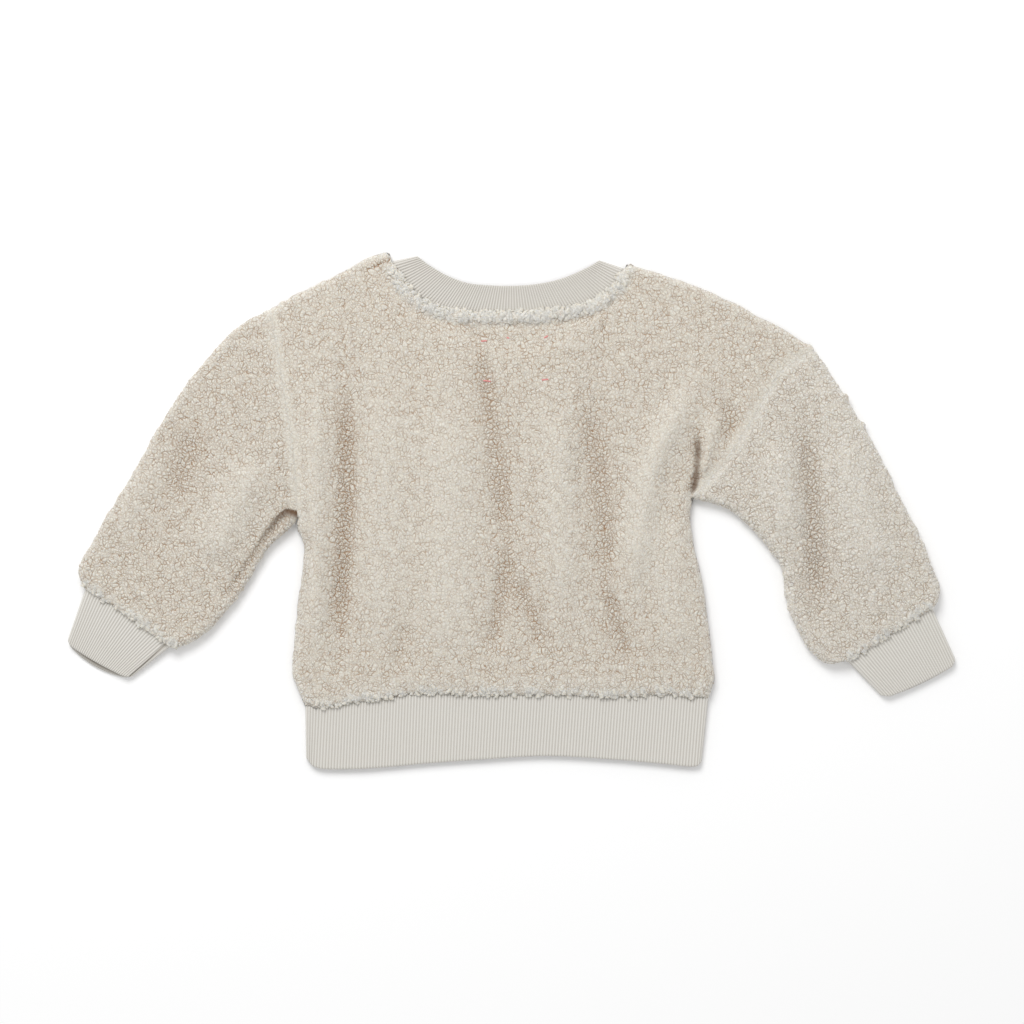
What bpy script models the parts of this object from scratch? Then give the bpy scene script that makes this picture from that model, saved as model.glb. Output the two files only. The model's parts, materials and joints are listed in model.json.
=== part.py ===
"""A child's sherpa fleece sweatshirt, laid flat on its front with its back up.

Units are metres and +Z is up. Seen from above, +X is the wearer's right and +Y points to the neck. The
origin is under the middle of the garment, on the surface that it lies on. Places and sizes below are
written in millimetres.

Each cut piece is a wall of its own, 0.3 mm from its neighbours at the seams. The back and front lie on
each other, and the sleeves, cuffs, hem band and neckband are flattened tubes. A wall is a loft: the outer
points and the inner points of its sections, joined at its edges.
"""

from collections import namedtuple

import bmesh
import bpy
import numpy as np

MM = 0.001
SEAM_GAP = 0.3
LAYER_GAP = 0.8

# The sherpa is a knitted backing with a deep curled pile, and the rib knit is folded double.
SHERPA_WALL = 5.0
RIB_WALL = 2.4
RIB_PITCH = 2.1
RIB_HEIGHT = 0.5

# The front lies on the surface, and the back lies on the front.
FRONT_TOP = SHERPA_WALL
BACK_UNDERSIDE = FRONT_TOP + SEAM_GAP
BACK_TOP = BACK_UNDERSIDE + SHERPA_WALL

# A folded edge is round with a low face at its foot. The pile dips at a seam, and more beside a rib band.
EDGE_RADIUS = 6.0
EDGE_FACE = 0.6
SEAM_DIP = 1.3
SEAM_DIP_WIDTH = 4.0
BAND_SEAM_DIP = 2.8
RIB_BELOW_SHERPA = 0.4
NECK_SLOPE = 11.0

# The top of a band at its seam and at its free edge.
BAND_HEIGHTS = (BACK_TOP - BAND_SEAM_DIP - RIB_BELOW_SHERPA, 2 * RIB_WALL + LAYER_GAP)

# A ridge lifts the inside by this share. A fold fades out near a seam, near an edge, and at its own ends.
FOLDS_INSIDE = 0.6
CALM_BY_SEAM = 12.0
CALM_BY_EDGE = 9.0
FOLD_END = 0.25
LEFT_AT_FOLD_END = 0.25

# The body's width, read at heights from the hem seam up to the armpits.
BodySection = namedtuple("BodySection", "left_x left_y right_x right_y")
BODY_SIDES = [
    BodySection(-145.0, -133.5, 138.0, -128.0),
    BodySection(-152.5, -118.0, 141.5, -117.0),
    BodySection(-153.5, -103.0, 140.5, -103.0),
    BodySection(-151.5, -80.0, 137.5, -80.0),
    BodySection(-148.5, -55.0, 134.0, -55.0),
    BodySection(-145.5, -25.0, 127.5, -25.0),
    BodySection(-149.0, -12.0, 124.5, -5.0),
    BodySection(-150.0, -4.0, 126.0, 10.0),
]

# The armhole seams, from the armpit up to the shoulder.
Armhole = namedtuple("Armhole", "left_x left_y right_x right_y")
ARMHOLES = [
    Armhole(-150.0, -4.0, 126.0, 10.0),
    Armhole(-152.5, 38.0, 148.0, 35.0),
    Armhole(-158.5, 78.0, 170.0, 69.0),
    Armhole(-164.5, 115.0, 188.0, 99.0),
    Armhole(-169.5, 142.5, 211.5, 114.0),
]

# The shoulder line, from each armhole to the neck, with the bump where the pile stands beside the neckband.
Shoulder = namedtuple("Shoulder", "left_x left_y right_x right_y")
SHOULDERS = [
    Shoulder(-169.5, 142.5, 211.5, 114.0),
    Shoulder(-144.0, 156.0, 189.5, 128.0),
    Shoulder(-116.0, 169.5, 150.0, 149.0),
    Shoulder(-103.0, 177.0, 115.5, 163.0),
    Shoulder(-89.0, 181.0, 85.0, 172.5),
    Shoulder(-84.0, 176.0, 78.5, 171.0),
]

# The back half of the neckband: where each section starts on the seam, and where it ends on the free edge.
NeckSection = namedtuple("NeckSection", "seam_x seam_y free_x free_y")
NECK_BACK = [
    NeckSection(-84.0, 176.0, -66.5, 180.0),
    NeckSection(-77.5, 164.0, -58.0, 173.5),
    NeckSection(-66.0, 151.5, -45.0, 166.0),
    NeckSection(-50.0, 143.0, -31.0, 161.0),
    NeckSection(-24.0, 139.5, -17.5, 159.5),
    NeckSection(0.0, 139.5, -1.5, 159.0),
    NeckSection(25.0, 141.0, 15.0, 160.0),
    NeckSection(44.0, 144.0, 29.0, 162.5),
    NeckSection(61.0, 150.0, 41.0, 166.5),
    NeckSection(72.5, 160.0, 53.0, 172.0),
    NeckSection(78.5, 171.0, 61.5, 177.0),
]
NECK_FRONT_DROP = 68.0
NECK_FRONT_FREE_DROP = 52.0
NECKBAND_WIDTH = 18.0

# The body's grid of points reaches the neck points and armpits at these fractions, and is finer at its edge.
LEFT_NECK_AT = 0.24
RIGHT_NECK_AT = 0.73
ARMPIT_AT = 0.46
EDGE_AT = 0.02

# A tube's sections have more points beside their folds. Inside, those near a fold move in to leave room.
NEAR_FOLDS = [0.01, 0.025, 0.05, 0.95, 0.975, 0.99]
TUCK_REACH = 0.2
SHARP_ANGLE = np.radians(50)

# The hem band: each section runs from the seam down to the band's lower edge.
HemSection = namedtuple("HemSection", "seam_x seam_y edge_x edge_y")
HEM_BAND = [
    HemSection(-145.0, -133.5, -144.5, -172.0),
    HemSection(-133.0, -136.0, -136.0, -179.3),
    HemSection(-109.0, -132.0, -111.0, -180.0),
    HemSection(-91.0, -130.0, -87.0, -178.5),
    HemSection(-67.0, -126.0, -59.5, -176.0),
    HemSection(-22.5, -127.0, -22.5, -173.3),
    HemSection(33.5, -127.0, 24.0, -170.8),
    HemSection(79.0, -128.5, 71.5, -173.3),
    HemSection(106.0, -126.5, 104.0, -176.2),
    HemSection(125.0, -128.5, 127.0, -178.3),
    HemSection(138.0, -128.0, 133.0, -175.0),
]

# Each sleeve's sections, from the armhole to the cuff: the fold along its top, and the fold under the arm.
SleeveSection = namedtuple("SleeveSection", "top_x top_y under_x under_y")
SLEEVE_LEFT = [
    SleeveSection(-169.5, 142.5, -150.0, -4.0),
    SleeveSection(-194.0, 128.0, -154.5, -9.5),
    SleeveSection(-214.0, 106.5, -160.0, -14.5),
    SleeveSection(-231.0, 86.0, -166.5, -20.5),
    SleeveSection(-249.0, 57.0, -174.5, -30.0),
    SleeveSection(-268.0, 23.0, -184.5, -47.5),
    SleeveSection(-285.5, -5.5, -195.0, -62.5),
    SleeveSection(-297.0, -26.5, -208.0, -78.0),
    SleeveSection(-303.5, -40.0, -224.0, -90.5),
    SleeveSection(-302.0, -48.5, -234.5, -95.0),
]
SLEEVE_RIGHT = [
    SleeveSection(211.5, 114.0, 126.0, 10.0),
    SleeveSection(225.5, 93.0, 139.5, 7.0),
    SleeveSection(238.5, 72.0, 153.5, 1.5),
    SleeveSection(252.0, 51.0, 168.0, -12.0),
    SleeveSection(262.5, 30.0, 181.0, -26.5),
    SleeveSection(272.5, 9.0, 189.0, -39.0),
    SleeveSection(283.5, -12.0, 191.5, -58.0),
    SleeveSection(292.5, -33.0, 197.0, -76.0),
    SleeveSection(298.0, -48.0, 206.5, -93.0),
    SleeveSection(299.5, -57.0, 220.0, -105.5),
    SleeveSection(297.0, -63.5, 231.5, -105.0),
]

# Each cuff is a little narrower than the sleeve's end, and runs to its mouth. The lower layer may stand out
# past the upper layer's mouth.
Cuff = namedtuple(
    "Cuff", "in_at_top in_at_under mouth_top_x mouth_top_y mouth_under_x mouth_under_y lower_layer_past"
)
CUFF_LEFT = Cuff(4.5, 4.0, -312.5, -91.5, -268.5, -116.5, 2.6)
CUFF_RIGHT = Cuff(3.5, 3.5, 312.5, -106.0, 261.0, -130.5, 0.6)
CUFF_MOUTH_BOW = 1.5

# The largest folds of the back and the sleeves: a smooth path through three places, and a rise or a sink.
Fold = namedtuple("Fold", "start_x start_y middle_x middle_y end_x end_y half_width rise")
BACK_FOLDS = [
    Fold(-117.0, 98.0, -115.0, 9.0, -122.5, -103.0, 9.0, -2.2),
    Fold(-138.0, 90.0, -138.0, 0.0, -138.0, -110.0, 9.0, 3.2),
    Fold(-92.0, 95.0, -92.0, 10.0, -98.0, -100.0, 12.0, 3.6),
    Fold(-45.5, 85.0, -43.0, -15.0, -45.5, -115.0, 17.0, 3.2),
    Fold(-24.5, 128.0, -13.0, 50.0, -3.5, -30.0, 9.0, -1.8),
    Fold(-3.5, -20.0, -8.0, -60.0, -17.5, -104.0, 7.0, -1.6),
    Fold(-1.0, -40.0, 12.0, -66.0, 25.0, -100.0, 7.0, -1.6),
    Fold(32.0, 80.0, 33.0, 0.0, 38.0, -75.0, 13.0, 3.0),
    Fold(47.5, 88.0, 64.0, 4.0, 66.5, -61.0, 8.0, -1.6),
    Fold(66.5, -50.0, 74.0, -80.0, 84.5, -108.0, 7.0, -1.6),
    Fold(128.0, 90.0, 97.0, 30.0, 82.5, -58.0, 11.0, 4.2),
    Fold(110.0, 0.0, 112.0, -50.0, 118.0, -105.0, 14.0, 2.4),
    Fold(128.5, 58.0, 130.5, 36.0, 125.0, 12.0, 5.5, -3.2),
    Fold(143.0, 70.0, 137.0, 45.0, 131.0, 22.0, 5.5, 2.2),
    Fold(150.5, 84.0, 156.0, 70.0, 157.5, 55.0, 5.5, -1.6),
    Fold(-75.0, -75.0, -78.0, -94.0, -82.5, -112.0, 5.5, -1.4),
]
LEFT_SLEEVE_FOLDS = [
    Fold(-157.0, 1.5, -178.0, -28.0, -210.0, -78.0, 4.5, -3.2),
    Fold(-176.0, 40.0, -196.0, 0.0, -216.0, -38.0, 15.0, 3.6),
    Fold(-222.0, 60.0, -228.0, 38.0, -242.0, 8.0, 12.0, -1.2),
    Fold(-246.0, 36.0, -262.0, 8.0, -278.0, -24.0, 12.0, 1.6),
]
RIGHT_SLEEVE_FOLDS = [
    Fold(203.5, 66.0, 209.0, 10.0, 215.0, -70.0, 9.0, -2.2),
    Fold(184.0, 50.0, 188.0, 20.0, 196.0, -20.0, 12.0, 3.2),
    Fold(228.0, 60.0, 240.0, 15.0, 258.0, -50.0, 16.0, 3.4),
    Fold(212.0, 92.0, 226.0, 74.0, 238.0, 50.0, 9.0, 1.2),
]

Cloth = namedtuple("Cloth", "name colour roughness")
SHERPA = Cloth("sherpa fleece", (0.62, 0.565, 0.48), 0.95)
RIB_KNIT = Cloth("rib knit", (0.635, 0.615, 0.575), 0.85)


def smooth_line(points, stations):
    """Reads a smooth curve through the points at the given fractions of its length."""
    points = np.asarray(points, float)
    before, after = 2 * points[0] - points[1], 2 * points[-1] - points[-2]
    knots = np.vstack([before, points, after])
    along = np.linspace(0, 1, 16, endpoint=False)[:, None]
    spans = []
    for a, b, c, d in zip(knots, knots[1:], knots[2:], knots[3:]):
        bend = (2 * a - 5 * b + 4 * c - d) * along**2 + (3 * b - a - 3 * c + d) * along**3
        spans.append(b + 0.5 * ((c - a) * along + bend))
    fine = np.vstack(spans + [points[-1:]])
    steps = np.linalg.norm(np.diff(fine, axis=0), axis=1)
    length = np.concatenate([[0], np.cumsum(steps)])
    places = np.asarray(stations) * length[-1]
    return np.column_stack([np.interp(places, length, axis) for axis in fine.T])


def column(rows, x_name, y_name):
    """The points that two columns of a table give."""
    return np.array([(getattr(row, x_name), getattr(row, y_name)) for row in rows])


def distance_to(points, line):
    """The distance in plan from each point to the nearest place on a line, and how far along that is."""
    line = np.asarray(line)[:, :2]
    starts, steps = line[:-1], np.diff(line, axis=0)
    offsets = points[..., None, :2] - starts
    along = np.clip((offsets * steps).sum(-1) / np.maximum((steps**2).sum(-1), 1e-9), 0, 1)
    gaps = np.linalg.norm(offsets - along[..., None] * steps, axis=-1)
    nearest = gaps.argmin(-1)
    taken = np.take_along_axis(along, nearest[..., None], -1)[..., 0]
    return gaps.min(-1), (nearest + taken) / len(steps)


def round_off(distance, radius):
    """Rises from 0 at an edge to 1 at the radius, along a quarter circle."""
    return np.sqrt(1 - (1 - np.clip(distance / radius, 0, 1)) ** 2)


def ease(value):
    """Rises smoothly from 0 to 1."""
    value = np.clip(value, 0, 1)
    return value * value * (3 - 2 * value)


def fold_relief(points, folds):
    """How far the folds lift the cloth at each point. A fold fades out towards both of its ends."""
    relief = np.zeros(points.shape[:-1])
    for fold in folds:
        places = [fold[0:2], fold[2:4], fold[4:6]]
        gap, along = distance_to(points, smooth_line(places, np.linspace(0, 1, 17)))
        fade = ease(along / FOLD_END) * ease((1 - along) / FOLD_END)
        strength = LEFT_AT_FOLD_END + (1 - LEFT_AT_FOLD_END) * fade
        relief += fold.rise * np.exp(-((gap / fold.half_width) ** 2)) * strength
    return relief


def inset(line, distance):
    """Moves a line sideways in plan: a positive distance moves it to the left of its direction."""
    steps = np.gradient(line, axis=0)
    steps /= np.linalg.norm(steps, axis=1)[:, None]
    return line + distance * np.column_stack([-steps[:, 1], steps[:, 0]])


def gathered(count, near):
    """Fractions from 0 to 1 with even steps, and smaller ones within the given fraction of each end."""
    even = np.linspace(near, 1 - near, count + 1)
    return np.concatenate([[0, near / 3], even, [1 - near / 3, 1]])


def halved(stations):
    """The stations with one more between each two."""
    return np.sort(np.concatenate([stations, (stations[1:] + stations[:-1]) / 2]))


def make_wall(name, cloth, outer, inner, is_ring):
    """A closed wall from two grids of points, rows by columns: outer, inner and edge faces."""
    rows, columns = outer.shape[:2]
    points = np.concatenate([outer.reshape(-1, 3), inner.reshape(-1, 3)]) * MM
    behind = rows * columns
    turns = columns if is_ring else columns - 1
    around = [(place, (place + 1) % columns) for place in range(turns)]
    rims = [(row * columns + a, row * columns + b) for row in (0, rows - 1) for a, b in around]
    if not is_ring:
        starts = [row * columns + side for side in (0, columns - 1) for row in range(rows - 1)]
        rims += [(start, start + columns) for start in starts]
    faces = [(a, b, behind + b, behind + a) for a, b in rims]
    for row in range(rows - 1):
        for a, b in around:
            first, second = row * columns, (row + 1) * columns
            corners = (first + a, first + b, second + b, second + a)
            faces.append(corners)
            faces.append(tuple(behind + corner for corner in corners))
    mesh = bpy.data.meshes.new(name)
    mesh.from_pydata(points.tolist(), [], faces)
    turned_out = bmesh.new()
    turned_out.from_mesh(mesh)
    bmesh.ops.recalc_face_normals(turned_out, faces=turned_out.faces)
    turned_out.to_mesh(mesh)
    turned_out.free()
    mesh.shade_smooth()
    mesh.set_sharp_from_angle(angle=SHARP_ANGLE)
    mesh.materials.append(material_of(cloth))
    piece = bpy.data.objects.new(name, mesh)
    bpy.data.collections["sweatshirt"].objects.link(piece)


def material_of(cloth):
    """The cloth's own material, made the first time that it is asked for."""
    found = bpy.data.materials.get(cloth.name)
    if found:
        return found
    material = bpy.data.materials.new(cloth.name)
    material.use_nodes = True
    shader = material.node_tree.nodes["Principled BSDF"]
    shader.inputs["Base Color"].default_value = (*cloth.colour, 1)
    shader.inputs["Roughness"].default_value = cloth.roughness
    material.diffuse_color = (*cloth.colour, 1)
    return material


def hanging_arc(left, right, drop, stations):
    """A round arc that hangs between two points, a little narrower than half an ellipse."""
    run = right - left
    up = np.array([-run[1], run[0]]) / np.linalg.norm(run)
    stations = np.asarray(stations)[:, None]
    angle = np.pi * stations
    sideways = (stations + (1 - np.cos(angle)) / 2) / 2
    return left + run * sideways - up * drop * np.sin(angle)


def body_stations():
    """The front's grid lines across and up. One lies on each neck point, and one on the armpits."""
    left = np.linspace(EDGE_AT, LEFT_NECK_AT, 6)
    neck = np.linspace(LEFT_NECK_AT, RIGHT_NECK_AT, 10)
    right = np.linspace(RIGHT_NECK_AT, 1 - EDGE_AT, 6)
    edge = [0, EDGE_AT / 3, 1 - EDGE_AT / 3, 1]
    across = np.unique(np.concatenate([edge, left, neck, right]))
    side = np.linspace(EDGE_AT, ARMPIT_AT, 5)
    arm = np.linspace(ARMPIT_AT, 1 - EDGE_AT, 6)
    up = np.unique(np.concatenate([edge, side, arm]))
    return across, up


def within(stations, low, high):
    """The stations from low to high, as fractions of that stretch."""
    return (stations[(stations >= low) & (stations <= high)] - low) / (high - low)


ACROSS, UP = body_stations()
NECK_ACROSS = within(ACROSS, LEFT_NECK_AT, RIGHT_NECK_AT)
ARMHOLE_UP = within(UP, ARMPIT_AT, 1)

# A seam is a line of short straight runs, so that the pieces on its two sides keep an even gap.
Seam = namedtuple("Seam", "knots points")
LEFT_NECK_POINT, RIGHT_NECK_POINT = column(NECK_BACK, "seam_x", "seam_y")[[0, -1]]
HEM_SEAM = Seam(ACROSS, smooth_line(column(HEM_BAND, "seam_x", "seam_y"), ACROSS))
BACK_KNOTS = halved(NECK_ACROSS)
BACK_NECK = Seam(BACK_KNOTS, smooth_line(column(NECK_BACK, "seam_x", "seam_y"), BACK_KNOTS))
FRONT_ARC = hanging_arc(LEFT_NECK_POINT, RIGHT_NECK_POINT, NECK_FRONT_DROP, NECK_ACROSS)
FRONT_NECK = Seam(NECK_ACROSS, FRONT_ARC)
LEFT_ARMHOLE = Seam(ARMHOLE_UP, smooth_line(column(ARMHOLES, "left_x", "left_y"), ARMHOLE_UP))
RIGHT_ARMHOLE = Seam(ARMHOLE_UP, smooth_line(column(ARMHOLES, "right_x", "right_y"), ARMHOLE_UP))


def along(seam, stations, side=0):
    """Reads a seam at fractions of its length, moved half the seam's gap to its left (1) or right (-1)."""
    points = inset(seam.points, side * SEAM_GAP / 2)
    return np.column_stack([np.interp(stations, seam.knots, axis) for axis in points.T])


def back_lift(points):
    """How high the back layer's underside lies: on the front, or inside its neckline on its neckband."""
    middle = (LEFT_NECK_POINT + RIGHT_NECK_POINT) / 2
    half = (RIGHT_NECK_POINT - LEFT_NECK_POINT) / 2
    width = np.linalg.norm(half)
    sideways = (points[..., :2] - middle) @ (half / width)
    upwards = (points[..., :2] - middle) @ (np.array([-half[1], half[0]]) / width)
    reach = np.hypot(sideways, upwards)
    level = np.maximum(np.hypot(sideways / width, upwards / NECK_FRONT_DROP), 1e-6)
    outside = reach - reach / level
    on_band = RIB_WALL + SEAM_GAP
    onto_front = ease((outside + NECKBAND_WIDTH) / NECKBAND_WIDTH)
    return on_band + (BACK_UNDERSIDE - on_band) * onto_front


def body_plan(neck, across, up):
    """A grid of points over the body in plan, blended from its edges: hem, sides with armholes, and top."""
    side_up = up[up < ARMPIT_AT] / ARMPIT_AT
    arm_up = within(up, ARMPIT_AT, 1)
    left_side = smooth_line(column(BODY_SIDES, "left_x", "left_y"), side_up)
    right_side = smooth_line(column(BODY_SIDES, "right_x", "right_y"), side_up)
    left = np.vstack([left_side, along(LEFT_ARMHOLE, arm_up, -1)])
    right = np.vstack([right_side, along(RIGHT_ARMHOLE, arm_up, 1)])
    from_left = across[across < LEFT_NECK_AT] / LEFT_NECK_AT
    left_shoulder = smooth_line(column(SHOULDERS, "left_x", "left_y"), from_left)
    from_right = (1 - across[across > RIGHT_NECK_AT]) / (1 - RIGHT_NECK_AT)
    right_shoulder = smooth_line(column(SHOULDERS, "right_x", "right_y"), from_right)
    neckline = along(neck, within(across, LEFT_NECK_AT, RIGHT_NECK_AT), -1)
    top = np.vstack([left_shoulder, neckline, right_shoulder])
    bottom = along(HEM_SEAM, across, 1)
    left[0], right[0], top[0], top[-1] = bottom[0], bottom[-1], left[-1], right[-1]
    across, up = across[None, :, None], up[:, None, None]
    left_bow = left[:, None] - (1 - up) * left[0] - up * left[-1]
    right_bow = right[:, None] - (1 - up) * right[0] - up * right[-1]
    return (1 - up) * bottom + up * top + (1 - across) ** 2 * left_bow + across**2 * right_bow


def folded_gap(plan):
    """How far each point of the body is from its folded edges: the sides and the shoulders."""
    even = np.linspace(0, 1, 60)
    edges = [(BODY_SIDES, "left"), (BODY_SIDES, "right"), (SHOULDERS, "left"), (SHOULDERS, "right")]
    lines = [smooth_line(column(rows, side + "_x", side + "_y"), even) for rows, side in edges]
    return np.minimum.reduce([distance_to(plan, line)[0] for line in lines])


def with_height(plan, height):
    """Points in plan with their heights added."""
    return np.concatenate([plan, np.broadcast_to(height, plan.shape[:-1])[..., None]], axis=-1)


def make_back():
    """The back: its upper face carries the folds, and rounds down to the folded edges and the seams."""
    plan = body_plan(BACK_NECK, halved(ACROSS), halved(UP))
    seams = [distance_to(plan, seam.points)[0] for seam in (LEFT_ARMHOLE, RIGHT_ARMHOLE, BACK_NECK)]
    sewn = np.minimum.reduce(seams)
    hem = distance_to(plan, HEM_SEAM.points)[0]
    folded = folded_gap(plan)
    calm = ease(np.minimum(sewn, hem) / CALM_BY_SEAM) * ease((folded - 1) / CALM_BY_EDGE)
    relief = fold_relief(plan, BACK_FOLDS) * calm
    lift = back_lift(plan)
    top = lift + SHERPA_WALL + relief
    top -= SEAM_DIP * (1 - round_off(sewn, SEAM_DIP_WIDTH))
    top -= BAND_SEAM_DIP * (1 - round_off(hem, EDGE_RADIUS))
    edge = lift + EDGE_FACE
    top = edge + (top - edge) * round_off(folded, EDGE_RADIUS)
    underside = lift + FOLDS_INSIDE * np.maximum(relief, 0)
    make_wall("back_panel", SHERPA, with_height(plan, top), with_height(plan, underside), False)


def make_front():
    """The front: it lies under the back, and its underside rests flat on the surface."""
    plan = body_plan(FRONT_NECK, ACROSS, UP)
    neck = distance_to(plan, FRONT_NECK.points)[0]
    top = RIB_WALL + (FRONT_TOP - RIB_WALL) * round_off(neck, NECK_SLOPE)
    underside = (top - EDGE_FACE) * (1 - round_off(folded_gap(plan), EDGE_RADIUS))
    make_wall("front_panel", SHERPA, with_height(plan, top), with_height(plan, underside), False)


def tuck_in(stations, most):
    """Moves the stations near both ends inwards, so that the inside of a fold leaves room for the wall."""
    near_start = np.clip(1 - stations / TUCK_REACH, 0, 1) ** 2
    near_end = np.clip(1 - (1 - stations) / TUCK_REACH, 0, 1) ** 2
    return stations + most * (near_start - near_end)


def make_tube(name, cloth, across, upper, heights, insides, under_across, lower, wall):
    """A flattened tube, folded round at both sides: its upper lines, and its lower lines at rest.

    The heights are those of the upper layer's top, and the insides those of its underside. Rib knit is
    ribbed on its upper side. Its underside rests flat, and is plain.
    """
    middle = (heights[:, :1] + heights[:, -1:]) / 4
    if lower is None:
        lower = np.array([[np.interp(under_across, across, axis) for axis in line.T] for line in upper])
        lower = lower.transpose(0, 2, 1)
    width = np.linalg.norm(np.diff(upper, axis=1), axis=2).sum(1)[:, None]
    radius = np.minimum(EDGE_RADIUS, heights[:, :1] / 2)
    rounding = round_off(width * np.minimum(across, 1 - across), radius)
    under_rounding = round_off(width * np.minimum(under_across, 1 - under_across), radius)
    gap = LAYER_GAP / 2
    lower_top = np.minimum(wall, middle - gap)
    ribs = 0
    if cloth is RIB_KNIT:
        ribs = RIB_HEIGHT * (np.arange(len(across)) % 2 - 0.5) * rounding
    outer_top = middle + (heights - middle) * rounding + ribs
    outer_under = middle * (1 - under_rounding)
    inner_top = middle + gap + np.maximum(insides - middle - gap, 0) * rounding
    inner_under = middle - gap - (middle - gap - lower_top) * under_rounding
    # A section goes over the upper line and back under the lower line, which share their two ends.
    back_under = slice(-2, 0, -1)
    outer, inner = [], []
    for row in range(len(upper)):
        tucked, under_tucked = (tuck_in(at, wall / width[row, 0]) for at in (across, under_across))
        upper_in = np.column_stack([np.interp(tucked, across, axis) for axis in upper[row].T])
        lower_in = np.column_stack([np.interp(under_tucked, under_across, axis) for axis in lower[row].T])
        below = with_height(lower[row], outer_under[row])[back_under]
        outer.append(np.vstack([with_height(upper[row], outer_top[row]), below]))
        below = with_height(lower_in, inner_under[row])[back_under]
        inner.append(np.vstack([with_height(upper_in, inner_top[row]), below]))
    make_wall(name, cloth, np.array(outer), np.array(inner), True)


def make_sleeve(name, sections, armhole, folds):
    """A sleeve from its armhole seam to its cuff. Its first sections follow the curve of the armhole."""
    across = np.unique(np.concatenate([gathered(8, 0.05), 1 - halved(armhole.knots)]))
    rows_at = gathered(10, 0.025)
    rows = smooth_line(sections, rows_at)
    to_left = 1 if rows[0, 0] > 0 else -1
    # The armhole seam is read from shoulder to armpit, and its bow fades halfway along the sleeve.
    seam = along(armhole, 1 - across, -to_left)
    bow = seam - (seam[0] + across[:, None] * (seam[-1] - seam[0]))

    def line_of(row, fraction):
        """One section's line, a little back from the cuff, and bowed as the armhole is while it is near."""
        run = row[2:] - row[:2]
        back = to_left * np.array([run[1], -run[0]]) / np.linalg.norm(run)
        straight = row[:2] + across[:, None] * run + back * SEAM_GAP / 2
        return straight + bow * max(0, 1 - 2 * fraction) ** 1.5

    plans = np.array([seam] + [line_of(row, at) for row, at in zip(rows[1:], rows_at[1:])])
    from_armhole, from_cuff = (distance_to(plans, plans[end])[0] for end in (0, -1))
    width = np.linalg.norm(plans[:, -1] - plans[:, 0], axis=1)[:, None]
    from_fold = width * np.minimum(across, 1 - across)
    calm = ease(np.minimum(from_armhole, from_cuff) / CALM_BY_SEAM) * ease(from_fold / CALM_BY_EDGE)
    relief = fold_relief(plans, folds) * calm
    heights = BACK_TOP + relief
    heights -= SEAM_DIP * (1 - round_off(from_armhole, SEAM_DIP_WIDTH))
    heights -= BAND_SEAM_DIP * (1 - round_off(from_cuff, EDGE_RADIUS))
    halfway = (heights[:, :1] + heights[:, -1:]) / 4 + LAYER_GAP / 2
    insides = halfway + FOLDS_INSIDE * np.maximum(relief, 0)
    under_across = np.unique(np.concatenate([NEAR_FOLDS, 1 - armhole.knots]))
    make_tube(name, SHERPA, across, plans, heights, insides, under_across, None, SHERPA_WALL)


def rib_stations(width):
    """Two stations for each rib across a band of this width."""
    return np.linspace(0, 1, 2 * round(width / RIB_PITCH) + 1)


def make_band(name, across, upper, heights, under_across, lower):
    """A doubled rib band. Its heights are one for each line, or one for each place of each line."""
    heights = np.broadcast_to(np.reshape(heights, (len(upper), -1)), upper.shape[:2])
    make_tube(name, RIB_KNIT, across, upper, heights, heights - RIB_WALL, under_across, lower, RIB_WALL)


def make_hem():
    """The hem band, a tube as wide as the body."""
    across = rib_stations(HEM_BAND[-1].seam_x - HEM_BAND[0].seam_x)
    under_across = HEM_SEAM.knots
    edge = column(HEM_BAND, "edge_x", "edge_y")
    upper = np.array([along(HEM_SEAM, across, -1), smooth_line(edge, across)])
    lower = np.array([along(HEM_SEAM, under_across, -1), smooth_line(edge, under_across)])
    make_band("hem_band", across, upper, BAND_HEIGHTS, under_across, lower)


def make_cuff(name, sleeve, cuff):
    """A cuff, a tube that starts on the sleeve's end line."""
    top, under = np.array(sleeve[-1][:2]), np.array(sleeve[-1][2:])
    run = (under - top) / np.linalg.norm(under - top)
    ahead = run[::-1] * ((-1, 1) if top[0] > 0 else (1, -1))
    ahead = ahead * np.sign(ahead[1]) * -1
    seam_ends = [top + cuff.in_at_top * run, under - cuff.in_at_under * run] + ahead * SEAM_GAP / 2
    mouth_ends = np.array([cuff[2:4], cuff[4:6]])
    across = rib_stations(np.linalg.norm(seam_ends[1] - seam_ends[0]))
    under_across = gathered(4, 0.06)

    def line(ends, stations, past):
        """A line from end to end that bulges towards the mouth."""
        bulge = 4 * stations * (1 - stations)
        return ends[0] + stations[:, None] * (ends[1] - ends[0]) + ahead * (past * bulge)[:, None]

    upper = np.array([line(seam_ends, across, 0), line(mouth_ends, across, CUFF_MOUTH_BOW)])
    past = CUFF_MOUTH_BOW + cuff.lower_layer_past
    lower = np.array([line(seam_ends, under_across, 0), line(mouth_ends, under_across, past)])
    make_band(name, across, upper, BAND_HEIGHTS, under_across, lower)


def make_neckband():
    """The neckband's back half lies on top, and its deeper front half lies below, on the surface."""
    free = column(NECK_BACK, "free_x", "free_y")
    seam = column(NECK_BACK, "seam_x", "seam_y")
    across = rib_stations(np.linalg.norm(np.diff(seam, axis=0), axis=1).sum())
    under_across = np.unique(np.concatenate([NEAR_FOLDS, halved(NECK_ACROSS)]))
    upper_ends = along(BACK_NECK, across, 1), smooth_line(free, across)
    front_free = hanging_arc(free[0], free[-1], NECK_FRONT_FREE_DROP, under_across)
    lower_ends = along(FRONT_NECK, under_across, 1), front_free
    upper, lower = (np.linspace(*ends, 3) for ends in (upper_ends, lower_ends))
    make_band("neckband", across, upper, back_lift(upper) + RIB_WALL, under_across, lower)


def clear_scene():
    """Removes what the file holds, and makes the collection for the garment."""
    for left_over in list(bpy.data.objects):
        bpy.data.objects.remove(left_over, do_unlink=True)
    collection = bpy.data.collections.new("sweatshirt")
    bpy.context.scene.collection.children.link(collection)


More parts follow.
